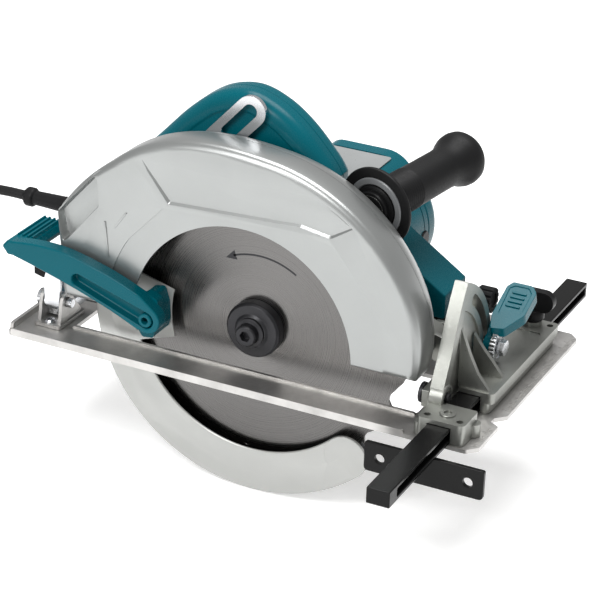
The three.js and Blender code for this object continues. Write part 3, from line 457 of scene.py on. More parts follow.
def gather(obj, *others):
    """Closed solids that touch or overlap, kept in one mesh."""
    bm = bmesh.new()
    for item in (obj, *others):
        bm.from_mesh(item.data)
    bm.to_mesh(obj.data)
    bm.free()
    for item in others:
        mesh = item.data
        bpy.data.objects.remove(item)
        bpy.data.meshes.remove(mesh)
    return obj


def soften(obj, width, segments=3, angle=32):
    """Rounds the edges that turn by more than an angle."""
    tidy = bmesh.new()
    tidy.from_mesh(obj.data)
    bmesh.ops.remove_doubles(tidy, verts=tidy.verts, dist=0.00002)
    bmesh.ops.dissolve_limit(tidy, angle_limit=0.6 * DEG, verts=tidy.verts, edges=tidy.edges)
    tidy.to_mesh(obj.data)
    tidy.free()
    if width:
        modifier = obj.modifiers.new("edges", "BEVEL")
        modifier.width = width * MM
        modifier.segments = segments
        modifier.limit_method = "ANGLE"
        modifier.angle_limit = angle * DEG
        modifier.miter_outer = "MITER_ARC"
        settle(obj)
    return obj


def piece(obj, name, body, look, *nodes, width=0.0, segments=3, angle=32, sharp=38, slot=None, even=True):
    """Finishes a visible piece: rounded edges, smooth faces, its finish, and the body that it rides on."""
    soften(obj, width, segments, angle)
    for face in obj.data.polygons:
        face.use_smooth = True
    obj.data.set_sharp_from_angle(angle=sharp * DEG)
    if even:
        obj.modifiers.new("shading", "WEIGHTED_NORMAL").keep_sharp = True
    obj.name = name
    obj.data.name = name
    obj.data.materials.clear()
    obj.data.materials.append(LOOKS[look])
    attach(obj, body)
    if nodes:
        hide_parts(*nodes)
    return obj


def refined(node, width):
    """The CAD's own shape again, with its edges rounded."""
    mesh = bpy.data.objects[node].data.copy()
    obj = bpy.data.objects.new("shape", mesh)
    bpy.context.scene.collection.objects.link(obj)
    return piece(obj, "fine_" + node, BODY_OF[node], SLOT_OF[node], node, width=width, angle=38)


# ---------------------------------------------------------------- blade case
CASE = {"near": -35.0, "split": -8.0, "far": 16.0, "wall": 3.2, "opening": 98.0, "bottom": 2.0, "rear": 163.0}
CLAMP = (-159.2, -12.0)


def polar(radius, angle):
    return (radius * math.cos(angle * DEG), radius * math.sin(angle * DEG))


def case_radius(angle):
    """The case follows the blade at the front and opens out towards the chip outlet at the rear."""
    if angle <= 82:
        return 160 - 8 * max(0.0, 1 - angle / 24) ** 2
    if angle <= 132:
        return 160 + 15 * smooth_step((angle - 82) / 50)
    return 175 + 10 * (angle - 132) / 24


def case_outline(inset, bottom):
    points = [(case_radius(0) - inset, bottom)]
    points += [polar(case_radius(angle) - inset, angle) for angle in range(2, 157, 2)]
    points.append((inset - CASE["rear"], bottom))
    return points


def rounded_rim(radius, level, steps=7):
    """Insets and levels over a rounded edge that starts on a flat face."""
    angles = [k * 90 / steps * DEG for k in range(steps + 1)]
    return [(radius * (1 - math.sin(a)), level + radius * (1 - math.cos(a))) for a in angles]


def sunk_panel(outline, near):
    """Cuts a panel whose floor slopes in from nothing at its top to its lowest edge."""
    def depth(x, z):
        return 10.186 - 0.0004 * x - 0.0734 * z

    bm = bmesh.new()
    mouth = [bm.verts.new(place((x, near - 1, z))) for x, z in offset(outline, -0.6)]
    floor = [bm.verts.new(place((x, near + depth(x, z), z))) for x, z in offset(outline, 2.0)]
    bm.faces.new(mouth)
    bm.faces.new(floor)
    for i in range(len(mouth)):
        k = (i + 1) % len(mouth)
        bm.faces.new((mouth[i], mouth[k], floor[k], floor[i]))
    return new_object("shape", bm)


def case_cover():
    """The case's near half: a dished wall with a round opening, a sunk panel and a pocket at the rear."""
    near, split, wall = CASE["near"], CASE["split"] - 0.3, CASE["wall"]
    rings = [(case_outline(inset, CASE["bottom"] + inset), y) for inset, y in rounded_rim(6.5, near)]
    shell = stack("y", rings + [(case_outline(0, CASE["bottom"]), split)])
    inside = ((7, near + wall), (4, near + 4.4), (wall, near + 7), (wall, split + 1))
    room = stack("y", [(case_outline(inset, -80), y) for inset, y in inside])
    pocket = [(-130, 118), (-128, 90), (-162, 49), (-168, 76)]
    backing = rounded([(-126, 124), (-122, 88), (-154, 38), (-162, 44), (-167, 78)], 4)
    panel = [(-91, 138.5), (-65, 105), (51, 111), (77, 107), (96, 119.4)]
    panel += [polar(case_radius(angle) - 6.8, angle) for angle in range(54, 121, 3)]
    panel = rounded(panel[:5], [0, 3, 6, 6, 0]) + panel[5:]
    step = arc(0, 0, 121, 179, 146) + [(-70, 100), (-62, 99.5), (50, 105.5), (78, 101.5), (91, 88)]
    step += arc(0, 0, 126, 42, 4) + [(126, -20), (-121, -20)]
    long_mark = [(-123, 78), (-121.6, 78), (-118.2, 47), (-119.6, 47)]
    short_mark = [(-114, 74.6), (-112.7, 74), (-102, 89), (-103.2, 89.6)]
    marks = [prism("y", mark, near - 0.8, near + 1) for mark in (long_mark, short_mark)]
    shell = cut(shell, room)
    shell = join(shell, prism("y", backing, near + 2, near + 13))
    shell = cut(shell, prism("y", rounded(step, 1), near - 3, near + 1.3))
    shell = cut(shell, sunk_panel(panel, near))
    hollow = stack("y", [(rounded(offset(pocket, inset), 4), near + depth)
                         for inset, depth in ((-2, -3), (0, 0.2), (1.6, 10))])
    radius = CASE["opening"]
    opening = lathe([(0, -60), (radius, -60), (radius, 0), (0, 0)], (0, 0, 0), (0, 1, 0), 144)
    shell = cut(shell, hollow, opening)
    shell = gather(shell, *marks)
    return piece(shell, "case_cover_casting", "saw", "cast_silver", "case_cover", width=0.55, segments=2,
                 angle=30, sharp=26, even=False)


def blade_case():
    """The half of the case at the motor's side, with its journal for the lower guard."""
    split, far, wall = CASE["split"], CASE["far"], CASE["wall"]
    slope = [(8 * (k / 8) ** 1.5, split + (far - 3 - split) * k / 8) for k in range(9)]
    slope += [(9.2, far - 1.4), (10.4, far - 0.5), (12, far)]
    shell = stack("y", [(case_outline(inset, CASE["bottom"] + max(0, inset - 8)), y) for inset, y in slope])
    room = stack("y", [(case_outline(inset + wall, -80), y) for inset, y in slope[:8]])
    shell = cut(shell, room)
    plate = rod("y", 0, 0, far - 3, far, 33, 72)
    lug = prism("y", stadium(CLAMP[0], CLAMP[1], CLAMP[0] + 8, 24, 10), far - 2.8, far - 0.2)
    journal = rod("y", 0, 0, 8, 26, 30.5, 72)
    shell = join(shell, plate, lug, journal)
    shell = cut(shell, rod("y", 0, 0, -5, 40, 22, 60), rod("y", *CLAMP, 0, 20, 4.4, 24))
    return piece(shell, "blade_case_casting", "saw", "cast_silver", "blade_case", width=0.5, segments=2)


# ---------------------------------------------------------------- lower guard and its lever
def swept(section, start, end, step=2.5):
    """A section of (radius, Y) points turned about the blade's axis from one angle to another."""
    count = max(2, round(abs(end - start) / step))
    bm = bmesh.new()
    rows = []
    for i in range(count + 1):
        angle = start + (end - start) * i / count
        rows.append([bm.verts.new(place((radius * math.cos(angle * DEG), y, radius * math.sin(angle * DEG))))
                     for radius, y in section])
    bm.faces.new(rows[0])
    bm.faces.new(rows[-1])
    for low, high in zip(rows, rows[1:]):
        for k in range(len(section)):
            m = (k + 1) % len(section)
            bm.faces.new((low[k], low[m], high[m], high[k]))
    return new_object("shape", bm)


def lower_guard():
    """A rolled rim that ends in a round nose, with a seat for the lever and a hub on the case's journal."""
    near, far, tip, tail, inner, radius = -11.3, 10.0, -47, -195, 108.0, 146.0
    rim = [(radius - 3 + 3 * math.sin(a * DEG), near + 3 - 3 * math.cos(a * DEG)) for a in range(0, 91, 15)]
    section = [(inner, near + 2.2), (inner, near + 1.1), (inner + 0.7, near + 0.4)]
    section += [(124.4, near + 0.4), (125.2, near)] + rim
    section += [(radius, far - 1), (radius - 1, far), (33, far), (33, far - 2), (radius - 2.4, far - 2)]
    section += [(radius - 2.4, near + 3), (radius - 3.4, near + 2.2)]
    shell = swept(section, tip, tail)
    width = (radius - inner) / 2 - 0.05
    profile = [(0, near)] + [(width - inset, y) for inset, y in rounded_rim(1.2, near, 4)]
    profile += [(width, near + 2.2), (0, near + 2.2)]
    x, z = polar((inner + radius) / 2, tip)
    nose = lathe(profile, (x, 0, z), (0, 1, 0), 64)
    sector = arc(0, 0, inner + 1, -162, tail, 2.5) + arc(0, 0, 74, tail, -162, 2.5)
    seat = prism("y", sector, near + 0.4, near + 2.2)
    hub = cut(rod("y", 0, 0, far - 1.6, 12.6, 38, 60), rod("y", 0, 0, 0, 20, 31, 60))
    made_of = ("guard", "guard_silver", "lower_guard")
    piece(join(shell, nose), "lower_guard_casting", *made_of, sharp=30, even=False)
    piece(seat, "lower_guard_seat", *made_of, width=0.5, segments=2)
    piece(hub, "lower_guard_hub", *made_of, width=0.4, segments=2)


def tapered(x0, y0, r0, x1, y1, r1):
    """Two circles and their outer tangents, as one outline."""
    angle = math.atan2(y1 - y0, x1 - x0) / DEG
    lean = math.asin((r0 - r1) / math.hypot(x1 - x0, y1 - y0)) / DEG
    return (arc(x1, y1, r1, angle - 90 + lean, angle + 90 - lean, 9)
            + arc(x0, y0, r0, angle + 90 - lean, angle + 270 + lean, 9))


def guard_lever():
    """A bowed arm over the case, a ring at its pivot, a hub on the guard, and a ridged tab for the thumb."""
    near, far = -50.0, -37.5
    pivot = (-77, 6.5)
    made_of = ("guard", "teal", "guard_lever")
    top = spline([(-205, 47.5), (-176, 50), (-148, 48), (-110, 38), (-82, 27)], 5)
    bottom = spline([(-84, -3.5), (-108, 7), (-142, 19), (-176, 29), (-207, 37)], 5)
    arm = prism("y", top + arc(-76, 7, 12, 55, -120, 12) + bottom + [(-211, 42)], near, far)
    arm = cut(arm, prism("y", tapered(*pivot, 7.0, -140, 27.5, 5.2), near - 1, near + 8))
    ring = cut(rod("y", *pivot, near - 0.6, near + 9, 6.0, 40, 0.8),
               rod("y", *pivot, near - 3, near + 7, 3.0, 28))
    piece(ring, "lever_ring", *made_of, width=0.4, segments=2)
    piece(arm, "lever_arm", *made_of, width=2.0, segments=5, angle=40, sharp=60)
    hub = [(-76, -14), (-86, -15), (-93, -5), (-93, 10), (-89, 20), (-79, 22), (-75, 10), (-74, -6)]
    web = [(-70, -4), (-84, -8), (-90, 0), (-90, 20), (-82, 26), (-71, 22)]
    hub = join(prism("y", rounded(hub, 3), near + 12.4, -11.7),
               prism("y", rounded(web, 4), near + 10, near + 19))
    piece(hub, "lever_hub", *made_of, width=1.6, segments=4)
    tab = [(-211, 42), (-206, 35.5), (-188, 35.5), (-187, 40), (-189, 47), (-206, 48)]
    ridges = [prism("y", [(x, 46), (x + 2.6, 46), (x + 2.0, 49.4), (x + 0.6, 49.4)], near + 14, 6.4)
              for x in (-205, -200.4, -195.8, -191.6)]
    tab = join(prism("y", rounded(tab, 2.5), near + 1, 7), *ridges)
    piece(tab, "lever_thumb_tab", *made_of, width=0.9)


# ---------------------------------------------------------------- handle
HANDLE = {"near": 21.0, "middle": 40.5, "far": 60.0, "seam": 0.3, "slim_end": -186}
HANDLE_SCREWS = ((-28, 168), (30, 132), (-150, 68), (-168, 45), (-20, 40))
MOTOR = (35 * 0.5, 35 * math.sqrt(3) / 2)
GRIP_START, GRIP_END = Vector((86, 25.6, 113)), Vector((111, 151, 119))
GRIP_DIRECTION = (GRIP_END - GRIP_START).normalized()
TRIGGER = {"x": -92, "z": 112, "angle": 223}


def handle_outline():
    top = spline([(51, 128), (43, 140), (21, 163), (-2, 179), (-28, 187), (-56, 181), (-82, 162), (-112, 131),
                  (-150, 93), (-176, 68), (-192, 58)], 7)
    bottom = spline([(-178, 30), (-150, 27.5), (-120, 25), (-90, 24.6), (-60, 25), (-28, 30)], 4)
    return [(51, 70), (51, 100)] + top + arc(-188, 46, 11, 130, 248, 12) + bottom + [(10, 50)]


def offset(points, distance, slim_end=None):
    """An outline moved inwards, less so beyond the level of X where it is slim."""
    moved = []
    count = len(points)
    area = sum(points[i - 1][0] * points[i][1] - points[i][0] * points[i - 1][1] for i in range(count))
    side = 1 if area > 0 else -1
    for i in range(count):
        before, here, after = Vector(points[i - 1]), Vector(points[i]), Vector(points[(i + 1) % count])
        a, b = (here - before).normalized(), (after - here).normalized()
        middle = (a + b).normalized()
        inward = Vector((-middle.y, middle.x)) * side
        reach = min(1.35, 1 / max(0.3, middle.dot(a)))
        slim = 1 if slim_end is None else 0.55 + 0.45 * smooth_step((here.x - slim_end) / 50)
        moved.append(tuple(here + inward * distance * reach * slim))
    return moved


def finger_gap():
    corners = [(-54, 128), (-66, 127), (-83, 113), (-134, 64), (-141, 53), (-132, 43), (-66, 43), (-50, 56),
               (-46, 116)]
    return rounded(corners, [6, 6, 20, 14, 6, 7, 8, 8, 8])


def along_grip(reach, low, high, y0, y1):
    """A block in the handle's own directions: along the grip, and across it towards the gap."""
    a = (180 - TRIGGER["angle"]) * DEG
    c, s = math.cos(a), math.sin(a)
    corners = [(TRIGGER["x"] + u * c + v * s, TRIGGER["z"] - u * s + v * c)
               for u, v in ((-reach, low), (reach, low), (reach, high), (-reach, high))]
    return prism("y", rounded(corners, 0.8), y0, y1)


def handle_half(side):
    """One half of the handle: -1 is the near half, and 1 the half at the motor's side."""
    near_side = side < 0
    start = HANDLE["near"] if near_side else HANDLE["far"]
    seam = HANDLE["middle"] + (0 if near_side else HANDLE["seam"])
    outline, slim_end = handle_outline(), HANDLE["slim_end"]
    profile = [(16.5, 1.5), (15.4, 1.2), (14.6, 0.3), (13.4, 0.0)] + rounded_rim(13, 0, 8)[1:]
    rings = [(offset(outline, inset, slim_end), start - side * depth) for inset, depth in profile]
    rings += [(outline, seam + side * 0.5), (offset(outline, 0.5, slim_end), seam)]
    body = stack("y", rings if near_side else rings[::-1])
    # Room for the fingers, side grip, gears, grip's arm, trigger, strain relief, and the far side's button.
    cutters = [
        prism("y", finger_gap(), 0, 80),
        lathe([(0, -20), (34, -20), (34, 5), (19, 14), (18, 60), (0, 60)], GRIP_START, GRIP_DIRECTION, 48),
        rod("y", *MOTOR, 0, 80, 50.9, 72),
        prism("y", [(50, 20), (104.5, 104), (70, 124.6), (9, 70)], 0, 24.3),
        along_grip(20.5, -40, 0, 33, 48),
        rod("x", *RELIEF_AXIS, -262, -165, 7.4, 32),
    ]
    if not near_side:
        cutters.append(rod("y", -74, 139, 42.5, 62, 5.4, 28))
    body = cut(body, *cutters)
    if not near_side:
        body = cut(body, *[rod("y", x, z, 55, 62, 4.0, 24) for x, z in HANDLE_SCREWS])
    node = "handle_left" if near_side else "handle_right"
    return piece(body, node + "_shell", "saw", "teal", node, width=2.2, segments=4, angle=42, sharp=50)


def handle_screws():
    for i, (x, z) in enumerate(HANDLE_SCREWS):
        head = lathe([(0, 0), (3.4, 0), (3.4, 1.6), (2.6, 2.4), (0, 2.6)], (x, 54.8, z), (0, 1, 0), 28)
        cross = [box((x - a, x + a), (56.4, 59), (z - b, z + b)) for a, b in ((1.9, 0.4), (0.4, 1.9))]
        piece(cut(head, *cross), "handle_screw_%d" % (i + 1), "saw", "zinc")


# ---------------------------------------------------------------- side grip
def on_grip(profile, segments, closed=False):
    """A profile of (radius, height) turned about the side grip."""
    return lathe(profile, GRIP_START, GRIP_DIRECTION, segments, closed)


def side_grip():
    profile = [(0, 0.4), (18.6, 0.4), (19.2, 1.4), (24.8, 1.4), (25.4, 0.3), (31.4, 0), (32.6, 0.5),
               (33, 1.6), (32.8, 3.2), (31.6, 4.3), (27, 5.8), (22.5, 8), (19.5, 11), (18.2, 15)]
    for i in range(10):
        height = 19 + i * 2.6
        profile += [(17.2, height), (17.6, height + 0.5), (17.6, height + 1.7), (17.2, height + 2.1)]
    profile += [(17.2, 60), (17, 92), (17.6, 98), (19, 104), (21.4, 109), (22.6, 113), (22.9, 117),
                (22.2, 121.4), (19.8, 125.2), (16, 127.6), (10, 128.8), (0, 129)]
    bore = [(0, -9), (12.6, -9), (12.6, 1.6), (4.4, 1.6), (4.4, 40), (0, 40)]
    body = cut(on_grip(profile, 84), on_grip(bore, 40))
    piece(body, "side_grip_rubber", "saw", "black_rubber", "side_grip", width=0.0, sharp=44)
    ring = [(19.2, 1.9), (19.2, 0.2), (20, -0.5), (24, -0.5), (24.8, 0.2), (24.8, 1.9)]
    piece(on_grip(ring, 84, True), "grip_seat_ring", "saw", "grey_plastic", slot="alloy")
    socket = [(12.5, 0.3), (18.6, 0.3), (18.6, -1.0), (17.4, -2.0), (15.2, -2.2), (15, -4.8), (14.2, -5.6),
              (12.5, -5.6)]
    piece(on_grip(socket, 72, True), "grip_socket", "saw", "black_plastic", slot="black_plastic")
    cap = [(0, -7.4), (6.4, -7.4), (7.2, -6.8), (7.2, -5.9), (11.6, -5.9), (12.2, -5.4), (12.2, -0.8),
           (0, -0.8)]
    piece(on_grip(cap, 60), "grip_boss_cap", "saw", "black_plastic", slot="black_plastic")


# ---------------------------------------------------------------- motor
HOUSING = {"x": 20, "z": 34, "start": 60.3, "end": 170.0, "cover": 194.0, "crown": 101.0}
BRUSH_Y = 160.0


def around_motor(profile):
    """A profile of (radius, Y) turned about the housing's axis."""
    return lathe(profile, (HOUSING["x"], 0, HOUSING["z"]), (0, 1, 0), 96)


def crown_outline():
    """The flat-topped part above the barrel."""
    left, right, top, small, large = -22, 60, HOUSING["crown"], 14, 28
    return ([(right, 34)] + arc(right - large, top - large, large, 0, 90, 9)
            + arc(left + small, top - small, small, 90, 180, 9) + [(left, 34)])


def rectangle(x0, y0, x1, y1, radius):
    return rounded([(x0, y0), (x1, y0), (x1, y1), (x0, y1)], radius)


def motor_housing():
    start, end, top = HOUSING["start"], HOUSING["end"], HOUSING["crown"]
    barrel = around_motor([(0, start), (52.4, start), (54, start + 1.6), (54, end - 1), (53, end), (0, end)])
    body = join(barrel, prism("y", crown_outline(), start + 8, end))
    brushes = rod("x", BRUSH_Y, MOTOR[1], -60, 120, 8.4, 32)
    body = cut(body, brushes, rod("y", *MOTOR, start - 1, end + 1, 45.6, 72))
    groove = cut(around_motor([(0, end - 9), (60, end - 9), (60, end - 7.6), (0, end - 7.6)]),
                 around_motor([(0, end - 12), (53.3, end - 12), (53.3, end - 4), (0, end - 4)]))
    label_bed = prism("z", rectangle(-14, 82, 44, 156, 3), top - 0.7, top + 2)
    slots = [prism("y", [(-42, -6), (-26, -13), (-24, -9), (-40, -2)], 90 + k * 7.5, 93.4 + k * 7.5)
             for k in range(7)]
    body = cut(body, label_bed, groove, *slots)
    piece(body, "motor_shell", "saw", "teal", "motor_housing", width=1.6, segments=4, angle=34)
    plate = prism("z", rectangle(-13.2, 82.8, 43.2, 155.2, 3), top - 1.2, top - 0.45)
    piece(plate, "label_plate", "saw", "label", width=0.2, segments=2, slot="black_plastic")


def motor_end_cover():
    start, end, edge = HOUSING["end"] + 0.3, HOUSING["cover"], 14
    profile = [(0, start), (53, start), (54, start + 1)]
    profile += [(40 + edge * math.cos(a * DEG), end - edge + edge * math.sin(a * DEG))
                for a in range(0, 91, 10)]
    profile += [(30, end), (28, end - 1.2), (0, end - 1.2)]
    vents = []
    for k in range(12):
        (x0, z0), (x1, z1) = polar(33, k * 30 + 15), polar(46, k * 30 + 15)
        outline = stadium(HOUSING["x"] + x0, HOUSING["z"] + z0, HOUSING["x"] + x1, HOUSING["z"] + z1, 1.8)
        vents.append(prism("y", outline, end - 8, end + 4))
    cover = cut(around_motor(profile), rod("y", *MOTOR, HOUSING["end"] - 1, 178, 38, 60),
                rod("y", *MOTOR, 172, 186.5, 11.3, 40), *vents)
    piece(cover, "motor_end_cap", "saw", "teal", "motor_end_cover", width=0.7)
    for i in range(4):
        x, z = polar(46.7, 45 + 90 * i)
        place_at = (HOUSING["x"] + x, end - 6.5, HOUSING["z"] + z)
        screw = lathe([(0, 0), (3.2, 0), (3.2, 1.2), (2.2, 2), (0, 2.1)], place_at, (0, 1, 0), 24)
        piece(screw, "cap_screw_%d" % (i + 1), "saw", "zinc")


case_cover()
blade_case()
lower_guard()
guard_lever()
handle_half(-1)
handle_half(1)
handle_screws()
side_grip()
motor_housing()
motor_end_cover()


# ---------------------------------------------------------------- base plate and front casting
BASE_TOP = SOLE + 3.5
BEVEL_AXIS = (-18.0, -12.0)
QUADRANT = {"rear": 162.0, "front": 173.0, "radius": 91.0, "slot": 80.0}
FENCE = {"x": 182.5, "half": 9.5, "top": -17.7, "near": -165.0, "far": 249.0, "plate": -78.0}
PAD = {"rear": 162.0, "front": 203.0, "top": -13.5, "bottom": -31.2}


def boxes(places):
    """Many separate boxes as one cutter."""
    bm = bmesh.new()
    for x, y, z in places:
        base = ((x[0], y[0]), (x[1], y[0]), (x[1], y[1]), (x[0], y[1]))
        corners = [bm.verts.new(place((a, b, c))) for c in z for a, b in base]
        bm.faces.new(corners[:4])
        bm.faces.new(corners[4:])
        for k in range(4):
            m = (k + 1) % 4
            bm.faces.new((corners[k], corners[m], corners[4 + m], corners[4 + k]))
    return new_object("shape", bm)


def scale_marks(x, sign, y0, y1, step, long_every=5):
    """Engraved lines of a ruler along Y."""
    marks = []
    count = int((y1 - y0) / step)
    for k in range(count + 1):
        length = 6.5 if k % long_every == 0 else 3.8
        y = y0 + k * step
        marks.append((sorted((x, x + sign * length)), (y - 0.3, y + 0.3), (BASE_TOP - 0.3, BASE_TOP + 1)))
    return marks


def lip(axis, ends, height, radius, start, end):
    """A strip that stands up from the base plate, with its two upper corners rounded."""
    bottom, top = -34, BASE_TOP + height
    outline = [(ends[0], bottom), (ends[1], bottom), (ends[1], top), (ends[0], top)]
    return prism(axis, rounded(outline, [0, 0, radius, radius]), start, end)


def base_plate():
    corners = [(-205, -55), (206, -55), (214, -47), (214, -8), (206, -3), (206, 3), (214, 12), (214, 167),
               (206, 175), (-195, 175), (-205, 165)]
    plate = prism("z", rounded(corners, [7, 4, 4, 1, 1, 1, 1, 4, 4, 6, 6]), SOLE, BASE_TOP)
    window = rounded([(-160, -21), (150, -21), (150, 47), (-160, 47)], 6)
    plate = cut(plate, prism("z", window, SOLE - 1, BASE_TOP + 1))
    rear_lip = lip("x", (-49, 163), 5, 6, -205, -202)
    near_lip = lip("y", (-201, 154), 3, 4, -55, -52.5)
    window_lip = lip("y", (-160, 150), 2, 3, -23.5, -21)
    plate = join(plate, rear_lip, near_lip, window_lip)
    marks = scale_marks(212.5, -1, 20, 165, 2.5) + scale_marks(212.5, -1, -46, -12, 2.5)
    hole_places = ((-150, 90), (-150, 130), (60, 120), (120, 150))
    holes = [rod("z", x, y, SOLE - 1, BASE_TOP + 1, 2.6, 24) for x, y in hole_places]
    plate = cut(plate, boxes(marks), *holes)
    piece(plate, "base_plate_steel", "base", "steel", "base_plate", width=0.7, segments=2)


def bevel_point(radius, angle):
    """A point (Y, Z) around the bevel's axis, its angle taken from straight up."""
    return (BEVEL_AXIS[0] + radius * math.sin(angle * DEG), BEVEL_AXIS[1] + radius * math.cos(angle * DEG))


def crown(radius, start, end):
    """An arc about the bevel's axis."""
    steps = round(abs(end - start) / 3)
    return [bevel_point(radius, start + (end - start) * k / steps) for k in range(steps + 1)]


def gusset(y, height):
    """A curved rib between the pad and the quadrant."""
    outline = [(172, PAD["top"] - 1), (199, PAD["top"] - 1), (197, PAD["top"] + 2.5)]
    outline += spline([(188, 0), (180, height * 0.45), (172, height)], 4)
    return prism("y", outline, y, y + 4)


def front_casting():
    """A pad over the fence bar, a block at its near end, and the quadrant with its curved slot."""
    bottom, top = PAD["bottom"], PAD["top"]
    rear, front, slide = QUADRANT["rear"], QUADRANT["front"], FENCE["x"]
    pad = prism("z", rounded([(162, 6), (203, 6), (203, 152), (162, 152)], [2, 5, 5, 5]), -22.5, top)
    foot = prism("z", rounded([(162, 6), (200, 6), (200, 150), (162, 150)], [2, 5, 5, 5]), bottom, -21)
    shelf = prism("z", rounded([(170, 62), (196, 62), (196, 128), (170, 128)], 4), top - 1.2, top + 1)
    block = prism("z", rounded([(164, -54), (203, -54), (203, -24), (164, -24)], [5, 5, 3, 3]), bottom, top)
    ears = [rod("z", x, y, bottom, top - 7, 5.5, 32) for x, y in ((165, -46), (202, -30))]
    rail = box((162, 170), (-26, 24), (bottom, top))
    outline = [(-32, bottom), (-31, -22)] + spline([(-31, -20), (-24, -2), (-12, 22), (-3, 44), (5, 60)], 4)
    outline += crown(QUADRANT["radius"], 20, 94) + [(74, bottom)]
    quadrant = prism("x", outline, rear, front)
    eye = rod("x", *BEVEL_AXIS, rear, front + 1.4, 11, 48, 0.8)
    eye_well = cut(rod("x", *BEVEL_AXIS, front - 1, front + 3, 8.2, 40),
                   rod("x", *BEVEL_AXIS, front - 2, front + 0.4, 9.0, 40))
    window = [(-20, -26), (-13, -4), (0, 24)] + crown(69, 24, 84) + [(44, -26)]
    hollow = prism("x", rounded(window[:3], [3, 3, 0]) + window[3:], front - 2.2, front + 1)
    boss = rod("z", slide, 142, top - 1, top + 4, 8, 40)
    casting = join(pad, foot, block, *ears, rail, quadrant)
    casting = cut(casting, hollow, shelf)
    casting = join(casting, eye, gusset(8, 36), gusset(36, 20), boss)
    ring = cut(rod("z", 184, -40, top - 1, top + 1.6, 6.4, 40, 0.5),
               rod("z", 184, -40, top - 2, top + 3, 3.2, 32))
    casting = join(casting, ring)
    channel = box((slide - 10, slide + 10), (-80, 200), (bottom - 1, FENCE["top"] + 0.5))
    hole_places = ((170, -47), (197, -47), (169, 145), (197, 145))
    holes = [rod("z", x, y, top - 7, top + 1, 2.7, 24) for x, y in hole_places]
    casting = cut(casting, channel, eye_well, *holes,
                  prism("x", ring_slot(*BEVEL_AXIS, QUADRANT["slot"], 4.6, 9, 54), rear - 1, front + 1),
                  rod("x", *BEVEL_AXIS, rear - 1, front + 3, 4.4, 28),
                  rod("z", slide, 142, top - 8, top + 6, 3.4, 28))
    piece(casting, "front_casting_alloy", "base", "alloy", "front_casting", width=0.9, segments=3, angle=30,
          sharp=32)


BOLT = bevel_point(80, 81)


def slab(origin, along, across, outline, start, end):
    """A prism on a slanted plane: its outline along two directions, its thickness along their normal."""
    u, v = Vector(along).normalized(), Vector(across).normalized()
    w = v.cross(u) if v.cross(u).z > 0 else u.cross(v)
    bm = bmesh.new()
    loops = [[bm.verts.new(place(Vector(origin) + u * a + v * b + w * level)) for a, b in outline]
             for level in (start, end)]
    bm.faces.new(loops[0])
    bm.faces.new(loops[1])
    for i in range(len(outline)):
        j = (i + 1) % len(outline)
        bm.faces.new((loops[0][i], loops[0][j], loops[1][j], loops[1][i]))
    return new_object("shape", bm)


def bevel_clamp():
    """The bevel's lever, with a ribbed paddle, and the toothed washer under it."""
    hub_near, hub_far = 173.3, 179.7
    hub = cut(rod("x", *BOLT, hub_near, hub_far, 9.5, 48, 0.6), rod("x", *BOLT, 170, 185, 4.3, 28))

    def around(points):
        return [(BOLT[0] + y, BOLT[1] + z) for y, z in points]

    neck = prism("x", around(rounded([(-2, 6), (6, 3), (17, 11), (9, 21)], 2)), hub_near, hub_far)
    piece(join(hub, neck), "bevel_lever_neck", "bevel_lever", "teal", "bevel_lever", width=0.8)
    along = Vector((0, 41, 16)).normalized()
    origin = Vector((hub_near + 11.5, BOLT[0], BOLT[1] + 10.2))
    corners = [(-3, -7), (12, -11.4), (45, -11.4), (51, -8), (51, 9), (44, 14.5), (18, 14.5), (-1, 4)]
    outline = rounded(corners, [2, 4, 3, 3, 5, 6, 8, 3])
    paddle = slab(origin, along, (1, 0, 0), outline, 0, 9.5)
    sunk = rounded([(14, -7), (44, -8.4), (47.4, -5), (47.4, 7), (42, 11), (20, 11), (14, 7)], 3)
    tray = slab(origin, along, (1, 0, 0), sunk, 8.7, 12)
    ribs = [slab(origin, along, (1, 0, 0), rectangle(u, -4.8, u + 2.1, 7.4, 0.9), 8.2, 9.8)
            for u in (24, 29, 34, 39)]
    paddle = gather(cut(paddle, tray), *ribs)
    piece(paddle, "bevel_lever_paddle", "bevel_lever", "teal", "bevel_lever", width=0.7, segments=3)
    teeth = []
    for k in range(96):
        radius, a = 12.8 if k % 4 < 2 else 12.0, k * 3.75 * DEG
        teeth.append((BOLT[0] + radius * math.cos(a), BOLT[1] + radius * math.sin(a)))
    washer = cut(prism("x", teeth, 180, 184.7), rod("x", *BOLT, 170, 190, 4.3, 28),
                 lathe([(0, 184.0), (9.4, 184.0), (9.4, 186), (0, 186)], (0, *BOLT), (1, 0, 0), 48))
    piece(washer, "bevel_washer_zinc", "bevel_frame", "zinc", "bevel_washer", width=0.3, segments=2)


def stop_knob():
    """The fluted knob on the hinge bracket's far arm."""
    y, z = 100.0, 20.0
    flutes = []
    for k in range(84):
        radius = 10.6 if k % 7 < 5 else 9.2
        flutes.append((y + radius * math.cos(k * 360 / 84 * DEG), z + radius * math.sin(k * 360 / 84 * DEG)))
    head = prism("x", flutes, 150, 163)
    head = cut(head, lathe([(0, 161.5), (6, 161.5), (6, 165), (0, 165)], (0, y, z), (1, 0, 0), 32))
    piece(head, "stop_knob", "bevel_frame", "black_plastic", width=0.5, segments=2, slot="black_plastic")
    arm = prism("x", tapered(64, 8, 9, y, z, 7), 145.9, 149.6)
    piece(arm, "stop_arm", "bevel_frame", "dark_steel", width=0.8, segments=2, slot="dark_steel")


